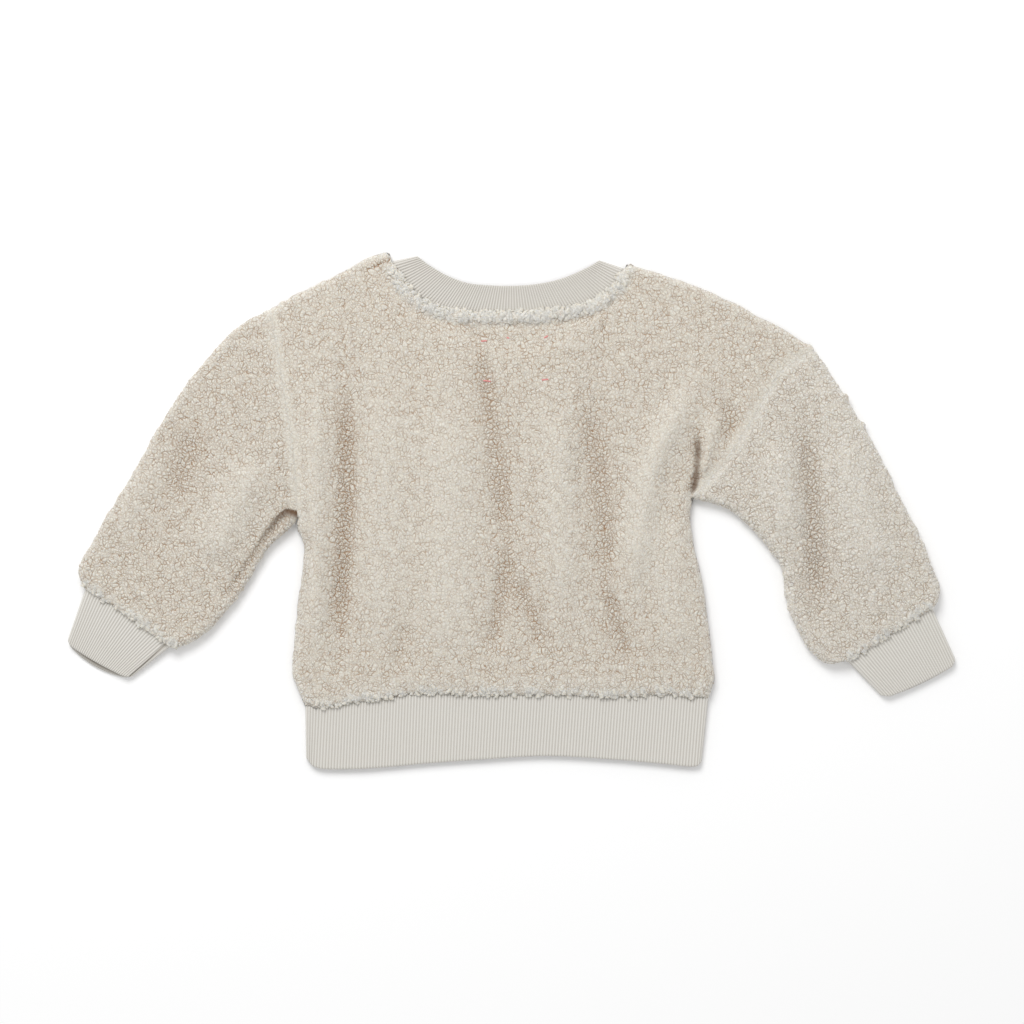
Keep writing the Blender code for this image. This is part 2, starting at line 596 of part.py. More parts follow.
clear_scene()
make_front()
make_back()
make_sleeve("sleeve_left", SLEEVE_LEFT, LEFT_ARMHOLE, LEFT_SLEEVE_FOLDS)
make_sleeve("sleeve_right", SLEEVE_RIGHT, RIGHT_ARMHOLE, RIGHT_SLEEVE_FOLDS)
make_hem()
make_cuff("cuff_left", SLEEVE_LEFT, CUFF_LEFT)
make_cuff("cuff_right", SLEEVE_RIGHT, CUFF_RIGHT)
make_neckband()
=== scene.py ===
"""The looks of a child's sherpa fleece sweatshirt, laid flat on its front with its back up.

Seen from above, +X is the wearer's right, +Y points to the neck and +Z is up. Places and sizes are written
in millimetres and turned into metres where a mesh is made.
"""

import json
from collections import namedtuple

import bmesh
import bpy
import numpy as np
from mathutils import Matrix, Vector
from mathutils.bvhtree import BVHTree

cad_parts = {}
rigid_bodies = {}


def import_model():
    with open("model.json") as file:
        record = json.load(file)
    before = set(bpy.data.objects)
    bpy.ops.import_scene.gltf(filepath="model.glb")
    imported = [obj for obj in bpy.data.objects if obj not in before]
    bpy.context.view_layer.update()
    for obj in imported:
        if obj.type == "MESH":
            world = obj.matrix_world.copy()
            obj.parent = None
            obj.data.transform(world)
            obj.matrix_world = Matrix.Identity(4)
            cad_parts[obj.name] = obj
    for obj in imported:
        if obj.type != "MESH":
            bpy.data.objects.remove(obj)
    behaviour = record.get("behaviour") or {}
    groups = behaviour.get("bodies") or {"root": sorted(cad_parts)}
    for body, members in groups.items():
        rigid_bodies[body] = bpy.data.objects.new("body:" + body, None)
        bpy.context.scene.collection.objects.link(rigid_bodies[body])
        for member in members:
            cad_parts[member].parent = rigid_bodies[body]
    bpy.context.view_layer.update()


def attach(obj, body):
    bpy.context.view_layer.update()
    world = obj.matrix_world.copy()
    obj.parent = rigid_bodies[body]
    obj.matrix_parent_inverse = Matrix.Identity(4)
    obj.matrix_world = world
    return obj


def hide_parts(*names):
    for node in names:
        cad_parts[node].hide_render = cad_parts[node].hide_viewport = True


for left_over in list(bpy.data.objects):
    bpy.data.objects.remove(left_over, do_unlink=True)
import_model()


# Front panel
# One cut piece of cream sherpa fleece, a knitted backing with a deep curled pile. It lies face down on the
# surface, so its pile is pressed flat there, and its sides and shoulders fold up to meet the back panel.

MM = 0.001
SEAM_GAP = 0.3
SHERPA_WALL = 5.0
RIB_WALL = 2.4
FRONT_TOP = SHERPA_WALL
BACK_UNDERSIDE = FRONT_TOP + SEAM_GAP
BACK_TOP = BACK_UNDERSIDE + SHERPA_WALL
EDGE_RADIUS = 6.0
EDGE_FACE = 0.6
NECK_SLOPE = 11.0

BodySection = namedtuple("BodySection", "left_x left_y right_x right_y")
BODY_SIDES = [
    BodySection(-145.0, -133.5, 138.0, -128.0),
    BodySection(-152.5, -118.0, 141.5, -117.0),
    BodySection(-153.5, -103.0, 140.5, -103.0),
    BodySection(-151.5, -80.0, 137.5, -80.0),
    BodySection(-148.5, -55.0, 134.0, -55.0),
    BodySection(-145.5, -25.0, 127.5, -25.0),
    BodySection(-149.0, -12.0, 124.5, -5.0),
    BodySection(-150.0, -4.0, 126.0, 10.0),
]
ARMHOLES = [
    BodySection(-150.0, -4.0, 126.0, 10.0),
    BodySection(-152.5, 38.0, 148.0, 35.0),
    BodySection(-158.5, 78.0, 170.0, 69.0),
    BodySection(-164.5, 115.0, 188.0, 99.0),
    BodySection(-169.5, 142.5, 211.5, 114.0),
]
SHOULDERS = [
    BodySection(-169.5, 142.5, 211.5, 114.0),
    BodySection(-144.0, 156.0, 189.5, 128.0),
    BodySection(-116.0, 169.5, 150.0, 149.0),
    BodySection(-103.0, 177.0, 115.5, 163.0),
    BodySection(-89.0, 181.0, 85.0, 172.5),
    BodySection(-84.0, 176.0, 78.5, 171.0),
]
HemSection = namedtuple("HemSection", "seam_x seam_y edge_x edge_y")
HEM_SECTIONS = [
    HemSection(-145.0, -133.5, -144.5, -172.0),
    HemSection(-133.0, -136.0, -136.0, -179.3),
    HemSection(-109.0, -132.0, -111.0, -180.0),
    HemSection(-91.0, -130.0, -87.0, -178.5),
    HemSection(-67.0, -126.0, -59.5, -176.0),
    HemSection(-22.5, -127.0, -22.5, -173.3),
    HemSection(33.5, -127.0, 24.0, -170.8),
    HemSection(79.0, -128.5, 71.5, -173.3),
    HemSection(106.0, -126.5, 104.0, -176.2),
    HemSection(125.0, -128.5, 127.0, -178.3),
    HemSection(138.0, -128.0, 133.0, -175.0),
]
NECK_FRONT_DROP = 68.0
LEFT_NECK_AT = 0.24
RIGHT_NECK_AT = 0.73
ARMPIT_AT = 0.46
BODY_MIDDLE_Y = -20.0


def column(rows, x_name, y_name):
    """The points that two columns of a table give."""
    return np.array([(getattr(row, x_name), getattr(row, y_name)) for row in rows])


def smooth_line(points, stations):
    """Reads a smooth curve through the points at the given fractions of its length."""
    points = np.asarray(points, float)
    before, after = 2 * points[0] - points[1], 2 * points[-1] - points[-2]
    knots = np.vstack([before, points, after])
    along = np.linspace(0, 1, 16, endpoint=False)[:, None]
    spans = []
    for a, b, c, d in zip(knots, knots[1:], knots[2:], knots[3:]):
        bend = (2 * a - 5 * b + 4 * c - d) * along**2 + (3 * b - a - 3 * c + d) * along**3
        spans.append(b + 0.5 * ((c - a) * along + bend))
    fine = np.vstack(spans + [points[-1:]])
    steps = np.linalg.norm(np.diff(fine, axis=0), axis=1)
    length = np.concatenate([[0], np.cumsum(steps)])
    places = np.asarray(stations) * length[-1]
    return np.column_stack([np.interp(places, length, axis) for axis in fine.T])


def hanging_arc(left, right, drop, stations):
    """A round arc that hangs between two points, a little narrower than half an ellipse."""
    run = right - left
    up = np.array([-run[1], run[0]]) / np.linalg.norm(run)
    stations = np.asarray(stations)[:, None]
    angle = np.pi * stations
    sideways = (stations + (1 - np.cos(angle)) / 2) / 2
    return left + run * sideways - up * drop * np.sin(angle)


def distance_to(points, line):
    """The distance in plan from each point to the nearest place on a line, and how far along that is."""
    line = np.asarray(line)[:, :2]
    starts, steps = line[:-1], np.diff(line, axis=0)
    flat = points[..., :2].reshape(-1, 2)
    nearest, where = np.full(len(flat), np.inf), np.zeros(len(flat))
    for count, (start, step) in enumerate(zip(starts, steps)):
        offset = flat - start
        along = np.clip(offset @ step / max(step @ step, 1e-9), 0, 1)
        gap = np.hypot(*(offset - along[:, None] * step).T)
        closer = gap < nearest
        nearest[closer] = gap[closer]
        where[closer] = (count + along[closer]) / len(steps)
    return nearest.reshape(points.shape[:-1]), where.reshape(points.shape[:-1])


def round_off(distance, radius):
    """Rises from 0 at an edge to 1 at the radius, along a quarter circle."""
    return np.sqrt(1 - (1 - np.clip(distance / radius, 0, 1)) ** 2)


def ease(value):
    """Rises smoothly from 0 to 1."""
    value = np.clip(value, 0, 1)
    return value * value * (3 - 2 * value)


def stations(runs, width):
    """Fractions from 0 to 1: even steps within each run, and finer ones round both edges of this width."""
    round_steps = EDGE_RADIUS * (1 - np.cos(np.linspace(0, np.pi / 2, 8))) / width
    inside = [np.linspace(*run) for run in runs]
    inside = np.concatenate(inside)
    inside = inside[(inside > round_steps[-1]) & (inside < 1 - round_steps[-1])]
    return np.unique(np.round(np.concatenate([round_steps, inside, 1 - round_steps]), 6))


def within(places, low, high):
    """The places from low to high, as fractions of that stretch."""
    return (places[(places >= low) & (places <= high)] - low) / (high - low)


def body_plan(neckline, across, up):
    """A grid of points over the body in plan, blended from its edges: hem, sides with armholes, and top."""
    side_up, arm_up = up[up < ARMPIT_AT] / ARMPIT_AT, within(up, ARMPIT_AT, 1)
    left, right = (
        np.vstack([
            smooth_line(column(BODY_SIDES, side + "_x", side + "_y"), side_up),
            smooth_line(column(ARMHOLES, side + "_x", side + "_y"), arm_up),
        ])
        for side in ("left", "right")
    )
    from_left = across[across < LEFT_NECK_AT] / LEFT_NECK_AT
    from_right = (1 - across[across > RIGHT_NECK_AT]) / (1 - RIGHT_NECK_AT)
    left_shoulder = smooth_line(column(SHOULDERS, "left_x", "left_y"), from_left)
    right_shoulder = smooth_line(column(SHOULDERS, "right_x", "right_y"), from_right)
    top = np.vstack([left_shoulder, neckline(within(across, LEFT_NECK_AT, RIGHT_NECK_AT)), right_shoulder])
    bottom = smooth_line(column(HEM_SECTIONS, "seam_x", "seam_y"), across)
    across, up = across[None, :, None], up[:, None, None]
    left_bow = left[:, None] - (1 - up) * left[0] - up * left[-1]
    right_bow = right[:, None] - (1 - up) * right[0] - up * right[-1]
    return (1 - up) * bottom + up * top + (1 - across) ** 2 * left_bow + across**2 * right_bow


def folded_gap(plan):
    """How far each point of the body is from its folded edges: the sides and the shoulders."""
    even = np.linspace(0, 1, 40)
    edges = [(rows, side) for rows in (BODY_SIDES, SHOULDERS) for side in ("left", "right")]
    lines = [smooth_line(column(rows, side + "_x", side + "_y"), even) for rows, side in edges]
    return np.minimum.reduce([distance_to(plan, line)[0] for line in lines])


def outwards(plan):
    """The direction in plan from the body's middle to each point."""
    middle = np.stack([plan[..., 0] / 2, np.full(plan.shape[:-1], BODY_MIDDLE_Y)], axis=-1)
    away = plan - middle
    return away / np.linalg.norm(away, axis=-1)[..., None]


def with_height(plan, height):
    """Points in plan with their heights added."""
    return np.concatenate([plan, np.broadcast_to(height, plan.shape[:-1])[..., None]], axis=-1)


def cloth_wall(name, outer, inner, rows, columns, is_ring=False):
    """A closed wall of cloth from a fine outer grid of points and a coarse inner one.

    The inner grid has the outer grid's rows and columns of the given numbers. Faces with many corners join
    the two along the edges. A ring closes on itself across its columns.
    """
    height, width = outer.shape[:2]

    def grid_faces(first, tall, wide):
        """The four-cornered faces of a grid whose points start at this number."""
        here = np.arange(wide if is_ring else wide - 1)
        after = (here + 1) % wide
        row = first + np.arange(tall - 1)[:, None] * wide
        corners = [row + here, row + after, row + wide + after, row + wide + here]
        return np.stack(corners, -1).reshape(-1, 4).tolist()

    behind = height * width
    faces = grid_faces(0, height, width) + grid_faces(behind, len(rows), len(columns))
    stops = list(columns) + ([width] if is_ring else [])
    for row, inner_row in ((0, 0), (height - 1, len(rows) - 1)):
        for place, (start, end) in enumerate(zip(stops, stops[1:])):
            edge = [row * width + at % width for at in range(start, end + 1)]
            back = [behind + inner_row * len(columns) + at % len(columns) for at in (place + 1, place)]
            faces.append(edge + back)
    if not is_ring:
        for side, inner_side in ((0, 0), (width - 1, len(columns) - 1)):
            for place, (start, end) in enumerate(zip(rows, rows[1:])):
                edge = [at * width + side for at in range(start, end + 1)]
                back = [behind + at * len(columns) + inner_side for at in (place + 1, place)]
                faces.append(edge + back)
    points = np.concatenate([outer.reshape(-1, 3), inner.reshape(-1, 3)]) * MM
    mesh = bpy.data.meshes.new(name)
    mesh.from_pydata(points.tolist(), [], faces)
    turned = bmesh.new()
    turned.from_mesh(mesh)
    bmesh.ops.recalc_face_normals(turned, faces=turned.faces)
    turned.to_mesh(mesh)
    turned.free()
    mesh.shade_smooth()
    piece = bpy.data.objects.new(name, mesh)
    bpy.context.scene.collection.objects.link(piece)
    return piece


def mark(piece, of_inner=None, **marks):
    """Stores a number or a place for each point of the outer grid.

    Points of the inner grid get what the outer grid has at the rows and columns in of_inner. Without these
    they get nothing.
    """
    for name, values in marks.items():
        is_place = values.ndim > 2 and values.shape[-1] == 3
        size, kind, key = (3, "FLOAT_VECTOR", "vector") if is_place else (1, "FLOAT", "value")
        stored = values.reshape(-1, size)
        if of_inner is not None:
            stored = np.concatenate([stored, values[of_inner].reshape(-1, size)])
        filled = np.zeros((len(piece.data.vertices), size), np.float32)
        filled[: len(stored)] = stored
        piece.data.attributes.new(name, kind, "POINT").data.foreach_set(key, filled.ravel())


def link(tree, source, target):
    """Joins an output to an input."""
    tree.links.new(source, target)


def add_node(tree, kind, **settings):
    """A node with its settings, and its inputs by name or by number: a value, or another node's output."""
    inputs = settings.pop("inputs", {})
    node = tree.nodes.new(kind)
    for name, value in settings.items():
        setattr(node, name, value)
    for name, value in inputs.items():
        if isinstance(value, bpy.types.NodeSocket):
            link(tree, value, node.inputs[name])
        else:
            node.inputs[name].default_value = value
    return node


def sums(tree, operation, *values):
    """A Math node's result."""
    return add_node(tree, "ShaderNodeMath", operation=operation, inputs=dict(enumerate(values))).outputs[0]


def vectors(tree, operation, *values, **named):
    """A Vector Math node's result."""
    inputs = {**dict(enumerate(values)), **named}
    return add_node(tree, "ShaderNodeVectorMath", operation=operation, inputs=inputs).outputs[0]


def smooth_step(tree, value, low, high, low_result=0.0, high_result=1.0):
    """A value that eases from one result to another between two limits."""
    given = {"Value": value, "From Min": low, "From Max": high, "To Min": low_result, "To Max": high_result}
    node = add_node(tree, "ShaderNodeMapRange", interpolation_type="SMOOTHSTEP", inputs=given)
    return node.outputs["Result"]


def noise(tree, place, scale, detail, output="Fac", dimensions="3D", **more):
    """Smooth noise over a place."""
    inputs = {"Vector": place, "Scale": scale, "Detail": detail, **more}
    return add_node(tree, "ShaderNodeTexNoise", noise_dimensions=dimensions, inputs=inputs).outputs[output]


Bend = namedtuple("Bend", "wavelength amount")
Patches = namedtuple("Patches", "wavelength low high least most")
Crack = namedtuple("Crack", "narrow wide")
Slope = namedtuple("Slope", "width fall")
CLUMP = 3.2
CLUMP_PATCHES = Patches(7.0, 0.40, 0.60, 0.45, 0.95)
CLUMP_CRACK = Crack(0.02, 0.12)
CLUMP_SLOPE = Slope(0.25, 0.5)
CURL = 1.95
CURL_PATCHES = Patches(5.0, 0.40, 0.62, 0.3, 0.75)
CURL_CRACK = Crack(0.01, 0.14)
CURL_SLOPE = Slope(0.3, 0.3)
CURLS_OPENED = 0.85
BROAD_BEND = Bend(8.0, 4.0)
FINE_BEND = Bend(1.8, 1.2)
OPENED_FROM = 0.55
LEAST_FALL = 0.1
PILE_DEPTH = 1.3


def moved(tree, place, bend):
    """A place shifted by smooth noise of the bend's wavelength, by up to about a third of its amount."""
    colour = noise(tree, place, 1 / bend.wavelength, 0, "Color", "2D")
    shift = vectors(tree, "SUBTRACT", colour, (0.5, 0.5, 0.5))
    return vectors(tree, "ADD", place, vectors(tree, "SCALE", shift, Scale=bend.amount))


def from_edge(tree, place, size):
    """How far a place is from the nearest edge between irregular cells of this size, as a share of it."""
    scaled = vectors(tree, "SCALE", place, Scale=1 / size)
    cells = add_node(
        tree,
        "ShaderNodeTexVoronoi",
        voronoi_dimensions="2D",
        feature="DISTANCE_TO_EDGE",
        inputs={"Vector": scaled, "Scale": 1.0},
    )
    return cells.outputs["Distance"]


def patchy(tree, place, patches):
    """A share that wanders over the cloth in patches, from the least to the most."""
    spread = noise(tree, place, 1 / patches.wavelength, 1, dimensions="2D")
    return smooth_step(tree, spread, *patches[1:])


def curl_field(tree, place, loose):
    """Adds the nodes that say how high the curled pile stands at a place, and how far down a crack it is.

    The pile gathers in clumps with thin cracks between them, and in smaller curls within each clump. Cracks
    come and go in patches, open everywhere where the pile is loose, and close where it is combed.
    """
    bent = moved(tree, moved(tree, place, BROAD_BEND), FINE_BEND)
    clumps, curls = from_edge(tree, bent, CLUMP), from_edge(tree, bent, CURL)
    opened = smooth_step(tree, loose, OPENED_FROM, 1.0)
    clump_share = sums(tree, "MAXIMUM", patchy(tree, place, CLUMP_PATCHES), opened)
    curl_share = patchy(tree, place, CURL_PATCHES)
    curl_share = sums(tree, "MAXIMUM", curl_share, sums(tree, "MULTIPLY", opened, CURLS_OPENED))
    clump_crack = sums(tree, "MULTIPLY", smooth_step(tree, clumps, *CLUMP_CRACK, 1.0, 0.0), clump_share)
    curl_crack = sums(tree, "MULTIPLY", smooth_step(tree, curls, *CURL_CRACK, 1.0, 0.0), curl_share)
    crack = sums(tree, "MAXIMUM", clump_crack, curl_crack)
    crack = sums(tree, "MULTIPLY", crack, smooth_step(tree, loose, 0.0, 1.0))
    clump_fall = sums(tree, "MULTIPLY", smooth_step(tree, clumps, 0.0, *CLUMP_SLOPE, 0.0), clump_share)
    fall = sums(tree, "ADD", clump_fall, smooth_step(tree, curls, 0.0, *CURL_SLOPE, 0.0))
    fall = sums(tree, "MULTIPLY", fall, sums(tree, "ADD", loose, LEAST_FALL))
    return sums(tree, "SUBTRACT", 1.0, fall), crack


def new_group(name, kind, inputs, outputs):
    """An empty node group with these inputs and outputs, and its two end nodes."""
    tree = bpy.data.node_groups.new(name, kind)
    for side, sockets in (("INPUT", inputs), ("OUTPUT", outputs)):
        for socket, socket_type in sockets.items():
            tree.interface.new_socket(name=socket, in_out=side, socket_type="NodeSocket" + socket_type)
    return tree, add_node(tree, "NodeGroupInput"), add_node(tree, "NodeGroupOutput")


def carried(tree, name, kind="FLOAT"):
    """What Geometry Nodes read from one of a piece's stored attributes."""
    node = add_node(tree, "GeometryNodeInputNamedAttribute", data_type=kind, inputs={"Name": name})
    return node.outputs["Attribute"]


def curled_pile_tree():
    """Geometry Nodes that press the cracks of the curled pile into a wall's outer points."""
    inputs = {"Geometry": "Geometry", "Depth": "Float", "Pile": "Material"}
    tree, start, end = new_group("curled_pile", "GeometryNodeTree", inputs, {"Geometry": "Geometry"})
    place = carried(tree, "pile_at", "FLOAT_VECTOR")
    depth, loose = carried(tree, "pile_depth"), carried(tree, "loose")
    height, _ = curl_field(tree, place, loose)
    fall = sums(tree, "MULTIPLY", sums(tree, "SUBTRACT", height, 1.0), start.outputs["Depth"])
    fall = sums(tree, "MULTIPLY", fall, depth)
    normal = add_node(tree, "GeometryNodeInputNormal").outputs["Normal"]
    placed = {"Geometry": start.outputs["Geometry"], "Offset": vectors(tree, "SCALE", normal, Scale=fall)}
    pressed = add_node(tree, "GeometryNodeSetPosition", inputs=placed)
    real = add_node(tree, "GeometryNodeRealizeInstances", inputs={"Geometry": pressed.outputs["Geometry"]})
    finish = {"Geometry": real.outputs["Geometry"], "Material": start.outputs["Pile"]}
    painted = add_node(tree, "GeometryNodeSetMaterial", inputs=finish)
    link(tree, painted.outputs["Geometry"], end.inputs["Geometry"])
    return tree


def run_tree(piece, tree, **values):
    """Runs a node tree on a piece with the given inputs, and keeps the result as its plain mesh."""
    modifier = piece.modifiers.new(tree.name, "NODES")
    modifier.node_group = tree
    sockets = {item.name: item.identifier for item in tree.interface.items_tree if item.in_out == "INPUT"}
    for name, value in values.items():
        modifier[sockets[name]] = value
    seen = piece.evaluated_get(bpy.context.evaluated_depsgraph_get())
    made = bpy.data.meshes.new_from_object(seen)
    piece.modifiers.remove(modifier)
    old = piece.data
    piece.data = made
    bpy.data.meshes.remove(old)
    made.name = piece.name


def curled_pile_look():
    """The shader's copy of the same pile: its height and its cracks at every point of the surface."""
    inputs, outputs = {"Place": "Vector", "Loose": "Float"}, {"Height": "Float", "Crack": "Float"}
    tree, start, end = new_group("curled_pile_look", "ShaderNodeTree", inputs, outputs)
    height, crack = curl_field(tree, *(start.outputs[name] for name in inputs))
    link(tree, height, end.inputs["Height"])
    link(tree, crack, end.inputs["Crack"])
    return tree


# Cream at the tips of the pile, and cream with painted shade lower down between its clumps.
TIP_CREAM = (0.735, 0.707, 0.635)
PILE_SHADE_CREAM = (0.665, 0.63, 0.55)
# A paler cream: partly a paler tone of the pile, partly painted highlight on ridges and along the edges.
PALE_HIGHLIGHT_CREAM = (0.785, 0.765, 0.72)
SPECKLE = (0.635, 0.605, 0.535)
SPECKLE_SCALE = 0.8
SPECKLE_LIMITS = (0.35, 0.65)
# Painted shade deep in the cracks between clumps: warm tan, and greyer where the pile is paler.
CRACK_SHADE_TAN = (0.31, 0.17, 0.08)
CRACK_SHADE_GREY = (0.40, 0.34, 0.275)
# Painted shade in folds and creases: grey, then deep brown where it is deepest.
SHADE_GREY = (0.34, 0.305, 0.25)
GREY_LIMITS = (0.0, 0.7)
MOST_GREY = 0.4
DEEP_SHADE_BROWN = (0.13, 0.07, 0.035)
BROWN_LIMITS = (0.3, 1.0)
STRAND_SCALE = 1.1
STRAND_HEIGHT = 0.35
PILE_BUMP = {"Strength": 0.85, "Distance": 0.0006}
SHERPA_FINISH = {
    "Roughness": 0.95,
    "Specular IOR Level": 0.15,
    "Sheen Weight": 0.25,
    "Sheen Roughness": 0.5,
    "Subsurface Weight": 0.3,
    "Subsurface Radius": (1.0, 0.85, 0.65),
    "Subsurface Scale": 0.002,
}


def new_material(name, finish):
    """A material whose shader has these plain values, with its node tree and that shader."""
    material = bpy.data.materials.new(name)
    material.use_nodes = True
    shader = material.node_tree.nodes["Principled BSDF"]
    for socket, value in finish.items():
        shader.inputs[socket].default_value = value
    return material, material.node_tree, shader


def attribute(tree, name, output="Fac"):
    """What a shader reads from one of a piece's stored attributes."""
    return add_node(tree, "ShaderNodeAttribute", attribute_name=name).outputs[output]


def mixed(tree, factor, a, b):
    """A colour between two others."""
    node = add_node(tree, "ShaderNodeMix", data_type="RGBA", inputs={0: factor})
    for place, value in ((6, a), (7, b)):
        if isinstance(value, bpy.types.NodeSocket):
            link(tree, value, node.inputs[place])
        else:
            node.inputs[place].default_value = (*value, 1)
    return node.outputs[2]


def raised(tree, shader, height, bump):
    """Gives a shader a bump of this height."""
    node = add_node(tree, "ShaderNodeBump", inputs={**bump, "Height": height})
    link(tree, node.outputs["Normal"], shader.inputs["Normal"])


def sherpa_material(pile_look):
    """Cream curled fleece, matt, with a soft sheen, and light painted into its colour: shade in cracks, folds
    and creases, highlights on ridges and edges.
    """
    material, tree, shader = new_material("sherpa_fleece", SHERPA_FINISH)
    place = attribute(tree, "pile_at", "Vector")
    loose, shade, cool = (attribute(tree, name) for name in ("loose", "shade", "cool"))
    look = add_node(tree, "ShaderNodeGroup", node_tree=pile_look, inputs={"Place": place, "Loose": loose})
    speckle = noise(tree, place, SPECKLE_SCALE, 1)
    # Painted light: shade lower in the pile, a paler tone with painted highlight, painted shade deep in the
    # cracks, and painted shade in folds and creases, grey and then deep brown.
    cream = mixed(tree, look.outputs["Height"], PILE_SHADE_CREAM, TIP_CREAM)
    cream = mixed(tree, cool, cream, PALE_HIGHLIGHT_CREAM)
    cream = mixed(tree, smooth_step(tree, speckle, *SPECKLE_LIMITS), SPECKLE, cream)
    cream = mixed(tree, look.outputs["Crack"], cream, mixed(tree, cool, CRACK_SHADE_TAN, CRACK_SHADE_GREY))
    cream = mixed(tree, smooth_step(tree, shade, *GREY_LIMITS, 0.0, MOST_GREY), cream, SHADE_GREY)
    cream = mixed(tree, smooth_step(tree, shade, *BROWN_LIMITS), cream, DEEP_SHADE_BROWN)
    link(tree, cream, shader.inputs["Base Color"])
    strands = noise(tree, place, STRAND_SCALE, 2, Distortion=1)
    height = sums(tree, "ADD", look.outputs["Height"], sums(tree, "MULTIPLY", strands, STRAND_HEIGHT))
    raised(tree, shader, height, PILE_BUMP)
    return material


curled_pile = curled_pile_tree()
sherpa = sherpa_material(curled_pile_look())


def every(count, step):
    """The numbers from 0 to the last of a count, a step apart."""
    return sorted({*range(0, count - 1, step), count - 1})


BODY_WIDTH = 300
BODY_HEIGHT = 290
FRONT_ACROSS = (50, 100, 72)
FRONT_UP = (90, 100)
FRONT_INNER_STEP = 8
LEFT_NECK_POINT, RIGHT_NECK_POINT = np.array([-84.0, 176.0]), np.array([78.5, 171.0])
FRONT_PRESSED = 0.35
HIDDEN_LOOSENESS = 0.6
BODY_PILE = (1.15, 1.05, 1.15)
TUFT = 0.75


def body_stations(across_counts, up_counts):
    """Fractions across and up the body, with these counts between the neck's ends and the armpit."""
    across_stops, up_stops = (0, LEFT_NECK_AT, RIGHT_NECK_AT, 1), (0, ARMPIT_AT, 1)
    across = stations(zip(across_stops, across_stops[1:], across_counts), BODY_WIDTH)
    return across, stations(zip(up_stops, up_stops[1:], up_counts), BODY_HEIGHT)


def front_neck_seam(at):
    """The front's neckline, at these fractions of its way from end to end."""
    return hanging_arc(LEFT_NECK_POINT, RIGHT_NECK_POINT, NECK_FRONT_DROP, at)


def make_front():
    """The front's wall: a fine outside below, with its pile, and a plain inside above."""
    across, up = body_stations(FRONT_ACROSS, FRONT_UP)
    plan = body_plan(front_neck_seam, across, up)
    neck = distance_to(plan, plan[-1, (across >= LEFT_NECK_AT) & (across <= RIGHT_NECK_AT)])[0]
    folded = folded_gap(plan)
    plan = plan - outwards(plan) * (TUFT * ease(1 - folded / EDGE_RADIUS))[..., None]
    top = RIB_WALL + (FRONT_TOP - RIB_WALL) * round_off(neck, NECK_SLOPE)
    under = (top - EDGE_FACE) * (1 - round_off(folded, EDGE_RADIUS))
    rows, columns = every(len(up), FRONT_INNER_STEP), every(len(across), FRONT_INNER_STEP)
    of_inner = np.ix_(rows, columns)
    outer, inner = with_height(plan, under), with_height(plan, top)[of_inner]
    piece = cloth_wall("front_panel_fleece", outer, inner, rows, columns)
    rim = ease((neck + 1) / 3)
    still = np.zeros_like(rim)
    looks = {"pile_at": outer * BODY_PILE, "loose": still + HIDDEN_LOOSENESS, "shade": still, "cool": still}
    mark(piece, of_inner, **looks)
    mark(piece, pile_depth=FRONT_PRESSED * rim)
    run_tree(piece, curled_pile, Depth=PILE_DEPTH * MM, Pile=sherpa)
    return piece


front = make_front()
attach(front, "root")
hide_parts("front_panel")


# Back panel
# The matching cut piece of sherpa fleece, pile up. It lies on the front, with soft upright folds from the
# shoulders to the hem, deep creases by the armholes, and the pile combed smooth beside the seams.

NeckSection = namedtuple("NeckSection", "seam_x seam_y free_x free_y")
NECK_BACK = [
    NeckSection(-84.0, 176.0, -66.5, 180.0),
    NeckSection(-77.5, 164.0, -58.0, 173.5),
    NeckSection(-66.0, 151.5, -45.0, 166.0),
    NeckSection(-50.0, 143.0, -31.0, 161.0),
    NeckSection(-24.0, 139.5, -17.5, 159.5),
    NeckSection(0.0, 139.5, -1.5, 159.0),
    NeckSection(25.0, 141.0, 15.0, 160.0),
    NeckSection(44.0, 144.0, 29.0, 162.5),
    NeckSection(61.0, 150.0, 41.0, 166.5),
    NeckSection(72.5, 160.0, 53.0, 172.0),
    NeckSection(78.5, 171.0, 61.5, 177.0),
]
NECKBAND_WIDTH = 18.0
BAND_HEIGHTS = (BACK_TOP - 2.8 - 0.4, 2 * RIB_WALL + 0.8)
OVERHANG = 2.0
HEM_OVERHANG = 1.2
OVERHANG_REACH = 9.0
SUNK = 0.5
BAND_EDGE_ROUND = 4.5
UNDER_SEAM = 0.3
UNDERSIDE_SHARE = 0.6
EDGE_HANG = 3.0
EDGE_SET_IN = 1.5
FRILL_WIDTH = 4.0
FRILL_ROUND = 3.2
FRILL_RISE = 1.6
GROOVE_PAST_FRILL = 6.0
GROOVE_ROUND = 1.8
FRILL_GROOVE = 0.6
GROOVE_SHADE = 0.08
NECK_MIDDLE = np.array([-3.0, 215.0])
# Where the pile parts by the left shoulder, its tan backing shows: this darkening goes through the painted
# shade's mix, but is the cloth's own colour.
BARE_PATCH = np.array([(-101.0, 170.0), (-94.0, 173.0), (-85.5, 177.0)])
PATCH_REACH = 2.8
PATCH_DARKENING = 0.12
SEAM_SINK = 0.6
SEAM_SINK_REACH = 4.0
RIGHT_SEAM_END = np.array([208.5, 115.5])
SEAM_END_BUMP = 1.7
BUMP_REACH = 3.0
NECK_CORNER_REACH = 7.0
FOLD_LIFT = 1.35
DARKEST_DEPTH = 11.0
MOST_SHADED = 0.9
CREASE_SHADE = 2.2
BACK_LOOSENESS = 0.68
LEAST_LOOSENESS = 0.12
LOOSER_PER_MM = 0.10
CALMER_PER_MM = 0.045
CALM_BY_SEAM = 9.0
CALM_BY_EDGE = 9.0
FOLD_END = 0.25
LEFT_AT_FOLD_END = 0.25
SEAM_FADE = 3.0
BACK_ACROSS = (78, 146, 108)
BACK_UP = (126, 146)
INNER_STEP = 10

